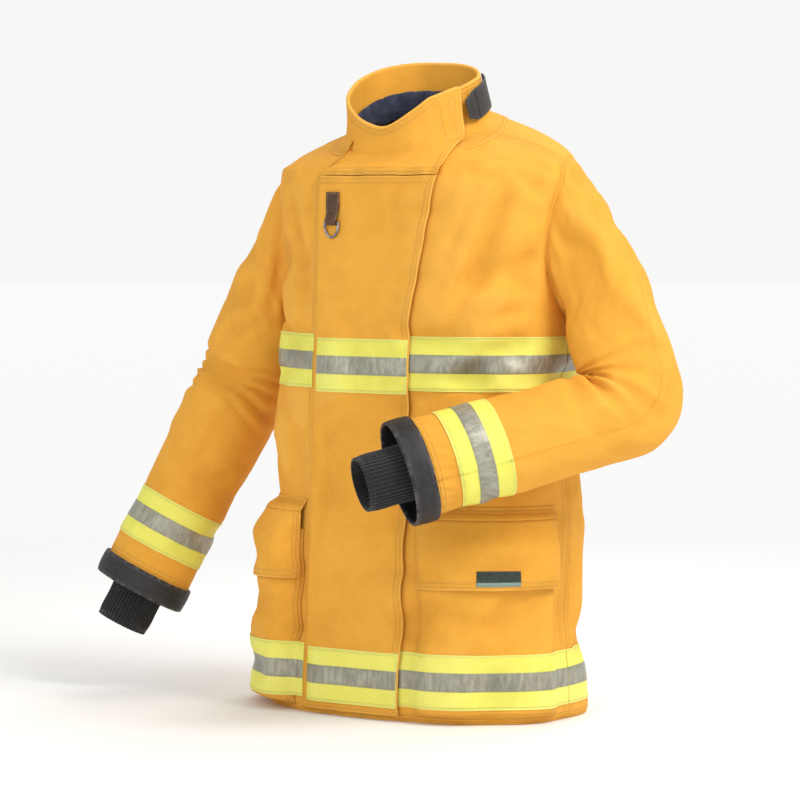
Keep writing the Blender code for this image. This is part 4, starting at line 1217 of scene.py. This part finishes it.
def zip_parts():
    for side, sign in (("left", 1), ("right", -1)):
        x = np.sort(sign * np.linspace(3.6, 17.0, 5))[None, :]
        points = front_point(x, column(*ZIP, 8.0), 1.9)
        obj = sheet("zip_cloth_" + side, points, 0.8, WEBBING)
        finish_piece(obj, "torso", "black_webbing", "zip_tape_" + side)
        teeth(side, sign)


def teeth(side, sign):
    """One row of metal teeth, each a tapered block with a waist."""
    height = np.arange(ZIP[0] + 1, ZIP[1] - 1, TOOTH_PITCH) + sign * TOOTH_PITCH / 4
    reach = np.array([0.45, 1.0, 1.9, 3.0])
    tall = np.array([0.95, 1.15, 0.7, 0.9])
    deep = np.array([0.55, 0.75, 0.6, 0.7])
    corners = np.array([(-1, -1), (1, -1), (1, 1), (-1, 1)])
    verts = []
    for r, a, b in zip(reach, tall, deep):
        for cy, cz in corners:
            x = np.full(len(height), sign * r)
            verts.append(front_point(x, height + cz * a * 0.8, 1.5 + cy * b))
    verts = np.stack(verts, 1)
    faces = [(0, 1, 2, 3), (15, 14, 13, 12)]
    for level in range(3):
        for k in range(4):
            a, b = level * 4 + k, level * 4 + (k + 1) % 4
            faces.append((b, a, a + 4, b + 4))
    faces = np.array(faces)
    if sign > 0:
        faces = faces[:, ::-1]
    every = (faces[None] + 16 * np.arange(len(height))[:, None, None]).reshape(-1, 4)
    obj = link("zip_chain_" + side, new_mesh("zip_chain_" + side, verts.reshape(-1, 3), every), [BRASS])
    modifier = obj.modifiers.new("edges", "BEVEL")
    modifier.width = 0.12 * MM
    finish_piece(obj, "torso", "brass", "zip_teeth_" + side)


def clean(mesh):
    """Welds points that coincide, and turns the faces outwards."""
    work = bmesh.new()
    work.from_mesh(mesh)
    bmesh.ops.remove_doubles(work, verts=work.verts, dist=1e-6)
    bmesh.ops.recalc_face_normals(work, faces=work.faces)
    work.to_mesh(mesh)
    work.free()


def plate(name, outline, thick, centre, tilt, material, holes=()):
    """A flat casting with rounded edges, from an outline and its holes in mm, leaning by tilt."""
    curve = bpy.data.curves.new(name, "CURVE")
    curve.dimensions = "2D"
    curve.fill_mode = "BOTH"
    curve.bevel_depth = 0.3 * MM
    curve.bevel_resolution = 2
    curve.extrude = (thick / 2 - 0.3) * MM
    for ring_points in (outline, *holes):
        spline = curve.splines.new("POLY")
        spline.points.add(len(ring_points) - 1)
        for point, (x, y) in zip(spline.points, ring_points):
            point.co = (x * MM, y * MM, 0, 1)
        spline.use_cyclic_u = True
    source = bpy.data.objects.new(name, curve)
    bpy.context.scene.collection.objects.link(source)
    graph = bpy.context.evaluated_depsgraph_get()
    mesh = bpy.data.meshes.new_from_object(source.evaluated_get(graph))
    bpy.data.objects.remove(source)
    clean(mesh)
    mesh.materials.clear()
    mesh.name = name
    obj = link(name, mesh, [material])
    obj.rotation_euler = (math.pi / 2 + tilt, 0, 0)
    obj.location = Vector((np.asarray(centre, float) - ORIGIN) * MM)
    return obj


def rounded(half_x, half_y, radius, steps=6):
    """The outline of a rectangle with rounded corners, round its middle."""
    points = []
    for cx, cy, start in ((1, 1, 0), (-1, 1, 90), (-1, -1, 180), (1, -1, 270)):
        x, y = cx * (half_x - radius), cy * (half_y - radius)
        for k in range(steps + 1):
            a = math.radians(start + 90 * k / steps)
            points.append((x + radius * math.cos(a), y + radius * math.sin(a)))
    return points


def zip_slider():
    top, lean = 716.0, -math.atan2(ZIP_Y[1] - ZIP_Y[0], ZIP[1] - ZIP[0])
    right = ((0.72, -1), (1, 0.2), (0.86, 0.85), (0.3, 1))
    left = [(-a, b) for a, b in right[::-1]]
    shape = [(6.3 * a, 7.8 * b) for a, b in (left[-1], *right, (0, 0.62), *left[:-1])]
    slider = plate("slider_plate", shape, 1.9, front_point(0, top, 3.7), lean, BRASS)
    finish_piece(slider, "zip_slider", "brass", "zip_slider")
    slot = [(x * 0.9, y - 6.5) for x, y in rounded(2.2, 6.2, 1.8)]
    turn = np.linspace(0, 2 * math.pi, 16, endpoint=False)
    eye = [(1.5 * math.cos(a), 12.4 + 1.5 * math.sin(a)) for a in turn]
    place = front_point(0, top - 28, 3.7)
    pull = plate("pull_plate", rounded(4.3, 15.8, 2.4), 1.6, place, lean, BRASS, (slot, eye))
    finish_piece(pull, "zip_pull", "brass", "zip_pull")


def tube_along(path, radius, sides=14):
    """A closed loop of round wire through a closed path in mm, as vertices and faces."""
    ahead = unit(np.roll(path, -1, axis=0) - np.roll(path, 1, axis=0))
    flat = unit(np.cross(path[1] - path[0], path[len(path) // 2] - path[0]))
    side = unit(np.cross(flat[None], ahead))
    a = np.linspace(0, 2 * math.pi, sides, endpoint=False)
    around = np.cos(a)[None, :, None] * side[:, None] + np.sin(a)[None, :, None] * flat
    verts = path[:, None] + radius * around
    index = np.arange(len(path) * sides).reshape(len(path), sides)
    ahead = np.roll(index, -1, axis=0)
    faces = np.stack([index, np.roll(index, -1, axis=1), np.roll(ahead, -1, axis=1), ahead], -1)
    return verts.reshape(-1, 3), faces.reshape(-1, 4)


def dee_tab_and_ring():
    """A leather tab folded round the straight bar of a D-ring."""
    wall, half_tall, wire, ring_half, ring_drop = 1.2, 20.0, 1.8, 13.0, 20.0
    t = angle_at_x(TAB_X, TAB_Z)
    away = base_normal(t, TAB_Z)
    centre = base(t, TAB_Z) + away * (7.6 + wall)  # on the storm flap, whose face is 7 mm out
    turn = math.atan2(away[0], -away[1])
    across = np.array((math.cos(turn), math.sin(turn), 0.0))
    forward = np.array((math.sin(turn), -math.cos(turn), 0.0))
    foot = half_tall + wire + 0.5
    pivot = centre - np.array((0, 0, foot)) + away * 2.7
    up = np.array((0, ZIP_Y[1] - ZIP_Y[0], ZIP[1] - ZIP[0]))
    up = up / np.linalg.norm(up)
    a = np.radians(np.linspace(-165, 0, 15))
    curl = [pivot + forward * 3.5 * math.cos(k) + np.array((0, 0, 3.5 * math.sin(k))) for k in a]
    face = []
    start_out = float((curl[-1] - centre) @ forward)
    for k in np.linspace(0, 1, 16)[1:]:
        along = -foot + (foot + half_tall) * k
        out = wall + (start_out - wall) * (1 - smooth(k * 2.6))
        face.append(centre + up * along + forward * out)
    wider = 2.2 * smooth(np.linspace(0.1, 1.6, len(face)))
    half = 9.4 + np.concatenate([np.zeros(len(curl)), wider])[:, None, None]
    points = np.array(curl + face)[:, None] + across * (half * np.linspace(-1, 1, 9)[None, :, None])
    obj = sheet("ring_tab", points, 1.35, BROWN)
    finish_piece(obj, "storm_flap", "brown_leather", "dee_tab")
    arc = np.radians(np.linspace(180, 360, 33))
    tall = np.array((0, 0, ring_drop))
    ring_path = [pivot + across * ring_half * math.cos(k) + tall * math.sin(k) for k in arc]
    ring_path += [pivot + across * k for k in np.linspace(ring_half, -ring_half, 14)[1:-1]]
    verts, faces = tube_along(np.array(ring_path), wire)
    mesh = new_mesh("steel_dee", verts, faces)
    clean(mesh)
    finish_piece(link("steel_dee", mesh, [STEEL]), "dee_ring", "dull_steel", "dee_ring")


# ---- Sleeves ---------------------------------------------------------------------------------
SIDES = 108  # points round a sleeve
ELBOW_PLACE, FORE_PLACE = 10000, 20000  # where a row's place starts again, as sleeve_rows says


def rotate(points, axis, angle):
    c, s = math.cos(angle), math.sin(angle)
    along = (points @ axis)[..., None] * axis
    return points * c + np.cross(axis, points) * s + along * (1 - c)


class Arm:
    """The frame of one sleeve: two straight axes, and a fan of rings about the elbow's crease."""

    def __init__(self, side):
        spec = ARMS[side]
        self.side, self.spec = side, spec
        self.shoulder, self.elbow, self.cuff = (
            np.array(spec[k], float) for k in ("shoulder", "elbow", "cuff")
        )
        self.upper, self.fore = unit(self.elbow - self.shoulder), unit(self.cuff - self.elbow)
        self.axis = unit(np.cross(self.upper, self.fore))
        self.angle = math.acos(float(self.upper @ self.fore))
        reach = spec["bend"][1] + CREASE_GAP
        self.crease = self.elbow + unit(self.fore - self.upper) * reach / math.cos(self.angle / 2)
        self.crease_offset = reach * math.tan(self.angle / 2)
        self.upper_length = np.linalg.norm(self.elbow - self.shoulder)
        self.fore_length = np.linalg.norm(self.cuff - self.elbow)
        up = np.array((0, 0, 1.0))
        self.out = unit(up - self.upper * (up @ self.upper))
        forward = np.cross(self.out, self.upper)
        self.forward = -forward if forward[1] > 0 else forward
        self.inward = unit(np.cross(self.axis, self.upper))

    def ring(self, centre, turned, normal, bend, grow=0.0):
        angle = np.linspace(0, 2 * math.pi, SIDES, endpoint=False)[:, None]
        ray = self.out * np.cos(angle) + self.forward * np.sin(angle)
        flat = self.axis * ((ray @ self.axis)[:, None] * (normal + grow))
        flat = flat + self.inward * ((ray @ self.inward)[:, None] * (bend + grow))
        return centre + rotate(flat, self.axis, turned)

    def between_sizes(self, index, share):
        normals, bends = self.spec["normal"], self.spec["bend"]
        share = smooth(share) * 0.5 + share * 0.5
        normal = normals[index] + (normals[index + 1] - normals[index]) * share
        return normal, bends[index] + (bends[index + 1] - bends[index]) * share

    def upper_ring(self, along, grow=0.0):
        share = min(along / (self.upper_length - self.crease_offset), 1.0)
        return self.ring(self.shoulder + self.upper * along, 0.0, *self.between_sizes(0, share), grow)

    def fore_ring(self, along, grow=0.0):
        share = min(max((along - self.crease_offset) / (self.fore_length - self.crease_offset), 0.0), 1.0)
        return self.ring(self.elbow + self.fore * along, self.angle, *self.between_sizes(1, share), grow)

    def fan_ring(self, share, grow=0.0):
        turned = self.angle * share
        bend = self.spec["bend"][1] + ELBOW_BULGE * math.sin(math.pi * share) * self.angle
        inward = rotate(self.inward, self.axis, turned)
        centre = self.crease - inward * (CREASE_GAP + bend)
        return self.ring(centre, turned, self.spec["normal"][1], bend, grow)

    def mouth_ring(self, inset=4.0):
        """The edge of the armhole, on the coat's surface."""
        angle = np.linspace(0, 2 * math.pi, SIDES, endpoint=False)
        y = ARMHOLE["y"] - (ARMHOLE["half_y"] - inset) * np.sin(angle)
        z = ARMHOLE["z"] + (ARMHOLE["half_z"] - inset) * np.cos(angle)
        low, high = np.zeros(SIDES), np.full(SIDES, NECK)
        for _ in range(24):
            h = (low + high) / 2
            _, front, back, rise = ring(h)
            under = h + rise * (y - (front + back) / 2) < z
            low, high = np.where(under, h, low), np.where(under, high, h)
        half, front, back, _ = ring(low)
        across = np.clip(np.abs(2 * y - front - back) / (back - front), 0, 1)
        x = half * (1 - across ** (2 / SQUARENESS)) ** (SQUARENESS / 2)
        return np.stack([x * (-1 if self.side == "right" else 1), y, z], -1)


def sleeve_rows(arm, grow, step=6.0):
    """Rings from the armhole to the cuff, and where along the arm each lies: from -1 at the
    armhole to 0 where the upper sleeve starts, then mm along the upper axis, then ELBOW_PLACE
    plus the turn about the elbow from 0 to 1, then FORE_PLACE plus mm along the forearm."""
    spec = arm.spec
    start = spec["start"] - 3
    mouth, first = arm.mouth_ring(1.5), arm.upper_ring(start, grow)
    size = spec["bulge"]
    bulge = np.array((-size if arm.side == "right" else size, 0, size / 2), float)
    span = np.linalg.norm(mouth.mean(0) - first.mean(0))
    rings, place = [], []
    for share in np.linspace(0, 1, int(span / step) + 8):
        rings.append(mouth * (1 - share) + first * share + bulge * math.sin(math.pi * share))
        place.append(share - 1)
    end = arm.upper_length - arm.crease_offset
    for along in levels(start, end, step)[1:]:
        rings.append(arm.upper_ring(along, grow))
        place.append(along)
    arc = arm.angle * (spec["bend"][1] + CREASE_GAP)
    for share in np.linspace(0, 1, max(int(arc / step * 1.3), 4))[1:]:
        rings.append(arm.fan_ring(share, grow))
        place.append(ELBOW_PLACE + share)
    for along in levels(arm.crease_offset, arm.fore_length, step)[1:]:
        rings.append(arm.fore_ring(along, grow))
        place.append(FORE_PLACE + along)
    return np.array(rings), np.array(place)


def relax(rings, times, hold=0.5):
    """Smooths the rings along the sleeve, and leaves the two ends where they are."""
    for _ in range(times):
        middle = (rings[:-2] + rings[2:]) / 2
        rings = np.concatenate([rings[:1], rings[1:-1] * (1 - hold) + middle * hold, rings[-1:]])
    return rings


def sleeve_folds(arm, rings, place, distance):
    """How far the cloth stands off the smooth sleeve, in mm, for every point of its rings."""
    seed = 20 if arm.side == "right" else 40
    turn = np.linspace(0, 1, SIDES, endpoint=False)[None, :]
    d = distance[:, None]
    fold = 3.6 * noise(turn * 4 + d / 400, d / 105, seed, 4)
    fold = fold + 1.9 * noise(turn * 9 + d / 150, d / 52, seed + 1, 9)
    fold = fold + 0.7 * noise(turn * 17, d / 21, seed + 2, 17)
    centre = rings.mean(1, keepdims=True)
    ray = unit(rings - centre)
    inner = ray @ unit(arm.fore - arm.upper)
    side = 1 - inner**2
    elbow = np.interp(ELBOW_PLACE + 0.5, place, distance)
    away = (d - elbow) / (0.6 + 0.4 * arm.angle)
    zigzag = noise(turn * 3, d / 60, seed + 3, 3) * 16
    for offset, depth, width in ((-46, -3.4, 9), (-20, -5.0, 9), (6, -5.6, 9), (32, -4.4, 9), (60, -3.0, 11)):
        line = bell((away - offset * (0.55 + 0.75 * side) + zigzag) / width)
        fold = fold + 1.25 * depth * line * (0.22 + 0.78 * smooth((inner + 0.75) / 1.35))
    fold = fold + 2.6 * bell(away / 70) * smooth((inner + 0.4) / 1.2)
    armpit = 1 - smooth((rings[..., 2] - rings[:1, :, 2].min() - 10) / 120)
    body_side = -np.sign(arm.shoulder[0]) * ray[..., 0]
    gather = smooth(1 - d / 190)
    radiate = np.sin(turn * 2 * np.pi * 8 + 1.6 * noise(turn * 4, d / 90, seed + 5, 4) + d / 90)
    fold = fold + 3.4 * gather * smooth(d / 30) * radiate * (0.45 + 0.55 * armpit)
    cuff = bell((distance[-1] - d) / 16)
    fold = fold * (1 - 0.75 * cuff) + 0.8 * bell((distance[-1] - d - 12) / 9) * np.sin(turn * 2 * np.pi * 26)
    # Where a sleeve faces the body it has no room to swell.
    near = smooth(body_side * 1.3 - 0.15)
    fold = np.where(fold > 0, fold * (1 - 0.8 * near), fold)
    pinch = smooth(d / 9)
    return fold * pinch - 1.6 * bell((d - 5) / 3.5)


def turned_out(rings):
    """The rings with their points in the order that makes the normals point out."""
    normals = grid_normals(rings, True)
    middle = len(rings) // 2
    outward = rings[middle] - rings[middle].mean(0)
    return rings[:, ::-1] if (normals[middle] * outward).sum() < 0 else rings


def sleeve(side):
    arm = Arm(side)
    rings, place = sleeve_rows(arm, 0.0)
    tucked = arm.mouth_ring(-3.0) - (4.2 * np.sign(arm.shoulder[0]), 0, 0)
    rings = turned_out(np.concatenate([tucked[None], relax(rings, 14)]))
    place = np.append(-1.05, place)
    distance = lengths(rings.mean(1)[:, None], 0)[:, 0]
    fold = sleeve_folds(arm, rings, place, distance)
    cloth = rings + grid_normals(rings, True) * fold[..., None]
    normals = grid_normals(cloth, True)
    extra = sleeve_drape(arm, cloth, normals, distance)
    cloth, fold = cloth + normals * extra[..., None], fold + extra
    normals = grid_normals(cloth, True)
    # The folds go on as relief, for painted shade in their valleys and painted highlight on their ridges.
    relief = np.clip(fold / 6, -1, 1)
    upper_body, fore_body = side + "_upper_sleeve", side + "_forearm"
    upper = place < ELBOW_PLACE
    top_end = np.interp(arm.spec["start"], place[upper], distance[upper])
    join = int(np.argmin(np.abs(np.where(upper, place, 1e9) - arm.spec["join"])))

    def shoulder_weight(d):
        return smooth((d - 6) / (top_end - 10))

    def elbow_weight(d):
        a, b = arm.spec["elbow_span"]
        known = (place > 0) & upper
        first = np.interp(a, place[known], distance[known])
        last = np.interp(FORE_PLACE + b, place, distance)
        return smooth((d - first) / (last - first))

    parts = (
        ("sleeve_top_" + side, slice(0, join + 1), "torso", upper_body, shoulder_weight, "T",
         (side + "_shoulder_sleeve", side + "_upper_sleeve")),
        ("sleeve_low_" + side, slice(join, None), upper_body, fore_body, elbow_weight, "B",
         (side + "_elbow_sleeve", side + "_forearm_sleeve")),
    )
    for name, rows, first, second, weight, square, nodes in parts:
        obj = sheet(
            name, cloth[rows], 2.0, (GOLD, GOLD_PLAIN), closed=True, plain=square,
            relief=relief[rows], normals=normals[rows],
        )
        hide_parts(*nodes)
        bend_rows(obj, weight, distance[rows])
    linings(arm, side, cloth, normals, place, distance, shoulder_weight, elbow_weight, join)
    sleeve_trim(arm, side, cloth, normals, place, fore_body)
    cuff_parts(arm, side, fore_body)


def bend_rows(obj, weight, row_distance):
    """Bakes obj's placing into its mesh, and works out from each point's row its weight between two bodies,
    which is not put to use.
    """
    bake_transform(obj)
    count = len(obj.data.vertices)
    row = np.zeros(count, np.int32)
    obj.data.attributes["row"].data.foreach_get("value", row)
    values = weight(row_distance)[row].astype(np.float32)


def linings(arm, side, cloth, normals, place, distance, shoulder_weight, elbow_weight, join):
    """The quilted lining of the sleeve, in the same two pieces as the cloth."""
    turn = np.linspace(0, 1, SIDES, endpoint=False)[None, ::2]
    last = int(np.argmin(np.abs(place - (FORE_PLACE + arm.fore_length - 30))))
    pieces = (
        ("lining_top_" + side, range(4, join + 1, 2), "torso", side + "_upper_sleeve", shoulder_weight,
         side + "_upper_lining", "tb"),
        ("lining_low_" + side, range(join, last, 2), side + "_upper_sleeve", side + "_forearm", elbow_weight,
         side + "_forearm_lining", "b"),
    )
    for name, rows, first, second, weight, node, plain in pieces:
        rows = list(rows)
        points = (cloth - normals * 4.5)[rows][:, ::2]
        d = distance[rows][:, None]
        a, b = turn * 7 + d / 62, turn * 7 - d / 62
        line = np.maximum(bell(np.sin(np.pi * a) * 4.0), bell(np.sin(np.pi * b) * 4.0))
        obj = sheet(name, points, 3.0 - 1.2 * line, NAVY, closed=True, plain=plain, relief=-line)
        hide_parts(node)
        bend_rows(obj, weight, distance[rows])


def sleeve_trim(arm, side, cloth, normals, place, body):
    """The tape round the forearm follows the cloth's own folds."""
    end = FORE_PLACE + arm.fore_length - SLEEVE_TRIM_FROM_CUFF
    edge = (TRIM_WIDTH - SILVER_WIDTH) / 2
    for name, low, high, out, wall, material, slot in (
        ("sleeve_tape_", end - TRIM_WIDTH, end, 1.4, 0.8, LIME, "lime_tape"),
        ("sleeve_silver_", end - TRIM_WIDTH + edge, end - edge, 1.95, 0.4, SILVER, "lime_tape"),
    ):
        at = np.linspace(low, high, max(int((high - low) / 4.5), 4))
        rows = np.interp(at, place, np.arange(len(place)))
        base_row = np.floor(rows).astype(int)
        part = (rows - base_row)[:, None, None]
        points = cloth[base_row] * (1 - part) + cloth[base_row + 1] * part
        facing = unit(normals[base_row] * (1 - part) + normals[base_row + 1] * part)
        obj = sheet(name + side, points + facing * out, wall, material, closed=True)
        finish_piece(obj, body, slot, *([side + "_sleeve_trim"] if wall > 0.5 else []))


def cuff_parts(arm, side, body):
    """The bound cuff, the ribbed wristlet and the knitted well that joins it to the sleeve."""
    end = arm.fore_length
    grid = []
    for along in levels(1.0, CUFF_LENGTH, 3.0):
        crown = 0.7 * math.sin(math.pi * along / CUFF_LENGTH)
        grid.append(arm.fore_ring(end, 5.0 + crown) + arm.fore * along)
    grid = turned_out(np.array(grid))
    turn = np.linspace(0, 1, SIDES, endpoint=False)[None, :]
    along = np.linspace(0, 1, len(grid))[:, None]
    ripple = 0.45 * noise(turn * 16, along * 3, 71, 16) + 0.25 * noise(turn * 40, along * 5, 72, 40)
    facing = grid_normals(grid, True)
    grid = grid + facing * ripple[..., None]
    obj = sheet("cuff_binding_" + side, grid, 4.6, CUFF, closed=True, relief=ripple)
    finish_piece(obj, body, "black_leather", side + "_cuff_band")
    wristlet(arm, side, body, end)
    well = []
    radius = WRISTLET_RADIUS + 1.5
    low = arm.ring(arm.elbow + arm.fore * (end - 10), arm.angle, radius, radius)
    high = arm.fore_ring(end + 8, -1.0)
    for share in np.linspace(0, 1, 8):
        dip = arm.fore * (5 * math.sin(math.pi * share))
        well.append(low * (1 - share) + high * share - dip)
    well = np.array(well)
    if (grid_normals(well, True)[4] @ arm.fore).mean() < 0:
        well = well[:, ::-1]
    obj = sheet("wrist_well_" + side, well, 1.4, KNIT, closed=True)
    finish_piece(obj, body, "black_knit", side + "_sleeve_well")


def wristlet(arm, side, body, end):
    """A knitted tube whose ribs are in the mesh, gathered a little at its mouth."""
    count, ribs = 264, 44
    angle = np.linspace(0, 2 * math.pi, count, endpoint=False)
    rib = np.cos(angle * ribs)
    rib = 0.75 * np.sign(rib) * np.abs(rib) ** 0.7
    first, last = end - 14, end + CUFF_LENGTH + WRISTLET_LENGTH
    rows = []
    for along in levels(first, last, 2.6):
        share = (along - first) / (last - first)
        radius = WRISTLET_RADIUS - 0.9 - 2.4 * share + 0.9 * math.sin(share * 9) * share
        hem = 1 - 0.7 * bell((along - last + 3.0) / 3.0)
        size = radius + rib * hem + 0.5 * noise(angle / (2 * math.pi) * 7, share * 4 + 0 * angle, 77, 7)
        ray = arm.out * np.cos(angle)[:, None] + arm.forward * np.sin(angle)[:, None]
        flat = arm.axis * (ray @ arm.axis)[:, None] + arm.inward * (ray @ arm.inward)[:, None]
        rows.append(arm.elbow + arm.fore * along + rotate(flat * size[:, None], arm.axis, arm.angle))
    rows = turned_out(np.array(rows))
    # The ribs go on as relief, for the knit's painted highlight on their crests.
    relief = np.broadcast_to(rib, rows.shape[:2])
    obj = sheet("wristlet_knit_" + side, rows, 2.6, KNIT, closed=True, relief=relief, plain="b")
    finish_piece(obj, body, "black_knit", side + "_wristlet")


def sleeve_drape(arm, cloth, normals, distance):
    """Folds of a sleeve from a simulation: a sleeve a little too long and wide for its frame."""
    pinned = np.zeros(cloth.shape[:2], bool)
    pinned[:3] = pinned[-2:] = True
    moved = settled(cloth, pinned, 0.06, 2.2, 0.3)
    out = ((moved - cloth) * normals).sum(-1)
    out = soft_cap(blurred(out - blurred(out, 90), 1), 8.0)
    ray = unit(cloth - cloth.mean(1, keepdims=True))
    near = smooth(-np.sign(arm.shoulder[0]) * ray[..., 0] * 1.3 - 0.15)
    out = np.where(out > 0, out * (1 - 0.8 * near), out)
    ends = smooth(distance / 30) * smooth((distance[-1] - distance) / 40)
    return out * ends[:, None]


# ---- Build, stage, light and camera ----------------------------------------------------------
DRAPE = body_drape()
shells()
inner_layers()
pockets()
body_trims()
storm_flap()
collar()
throat_tab()
hanger_loop()
zip_parts()
zip_slider()
dee_tab_and_ring()
for each_side in ARMS:
    sleeve(each_side)


def stage():
    """A plain pale floor, wide enough to reach the horizon from every side."""
    mesh = bpy.data.meshes.new("floor")
    work = bmesh.new()
    bmesh.ops.create_circle(work, cap_ends=True, segments=96, radius=40.0)
    work.to_mesh(mesh)
    work.free()
    floor = bpy.data.objects.new("floor", mesh)
    floor.location = (0, 0, -0.8 * MM)  # the hem's rounded edge reaches a little below 0
    bpy.context.scene.collection.objects.link(floor)
    s = Shader("floor")
    place = s.tree.nodes.new("ShaderNodeTexCoord")
    length = s.tree.nodes.new("ShaderNodeVectorMath")
    length.operation = "LENGTH"
    s.put(length.inputs[0], place.outputs["Object"])
    far = s.ramp(length.outputs["Value"], 0.7, 3.2)
    s.set(
        Base_Color=s.mix(far, (0.88, 0.88, 0.875), (0.0, 0.0, 0.0)),
        Roughness=0.9,
        Specular_IOR_Level=0.1,
        Emission_Color=SEEN_BACKGROUND,
        Emission_Strength=far,
    )
    mesh.materials.append(s.material)


def studio_world():
    """Soft pale light from all round. The camera sees the same world a little brighter."""
    world = bpy.data.worlds.new("studio")
    world.use_nodes = True
    tree = world.node_tree
    light = tree.nodes["Background"]
    light.inputs["Color"].default_value = (1.0, 0.99, 0.975, 1)
    light.inputs["Strength"].default_value = 0.72
    seen = tree.nodes.new("ShaderNodeBackground")
    seen.inputs["Color"].default_value = (*SEEN_BACKGROUND, 1)
    path, mix = tree.nodes.new("ShaderNodeLightPath"), tree.nodes.new("ShaderNodeMixShader")
    tree.links.new(path.outputs["Is Camera Ray"], mix.inputs[0])
    tree.links.new(light.outputs[0], mix.inputs[1])
    tree.links.new(seen.outputs[0], mix.inputs[2])
    tree.links.new(mix.outputs[0], tree.nodes["World Output"].inputs[0])
    bpy.context.scene.world = world


def area_light(name, azimuth, elevation, distance, size, power, colour=(1, 1, 1)):
    """A square light that looks at the coat's middle from this azimuth, as the camera's are counted."""
    light = bpy.data.lights.new(name, "AREA")
    light.shape, light.size = "SQUARE", size
    light.energy, light.color = power, colour
    obj = bpy.data.objects.new(name, light)
    bpy.context.scene.collection.objects.link(obj)
    place_looking(obj, azimuth, elevation, distance)


def place_looking(obj, azimuth, elevation, distance, target=(0.0, 0.0, 0.45)):
    a, e = math.radians(azimuth), math.radians(elevation)
    away = Vector((math.sin(a) * math.cos(e), -math.cos(a) * math.cos(e), math.sin(e)))
    middle = Vector(target) - Vector(ORIGIN * MM)
    obj.location = middle + away * distance
    obj.rotation_euler = away.to_track_quat("Z", "Y").to_euler()


CAMERA_AZIMUTH, CAMERA_ELEVATION, CAMERA_DISTANCE = 35.0, 3.0, 5.0
SEEN_BACKGROUND = (0.93, 0.93, 0.925)

stage()
studio_world()
bpy.context.scene.view_settings.view_transform = "Standard"
area_light("key", CAMERA_AZIMUTH + 50, 45, 3.2, 1.4, 72, (1.0, 0.985, 0.96))
area_light("fill", CAMERA_AZIMUTH - 35, 18, 3.6, 2.0, 24, (1.0, 0.99, 0.98))
area_light("rim", CAMERA_AZIMUTH + 165, 45, 3.0, 1.6, 24)

camera_data = bpy.data.cameras.new("camera")
camera_data.lens, camera_data.sensor_width = 160.0, 36.0
camera_data.shift_x, camera_data.shift_y = -0.036, -0.0175
camera_data.clip_end = 30.0
camera = bpy.data.objects.new("camera", camera_data)
bpy.context.scene.collection.objects.link(camera)
place_looking(camera, CAMERA_AZIMUTH, CAMERA_ELEVATION, CAMERA_DISTANCE)
bpy.context.scene.camera = camera
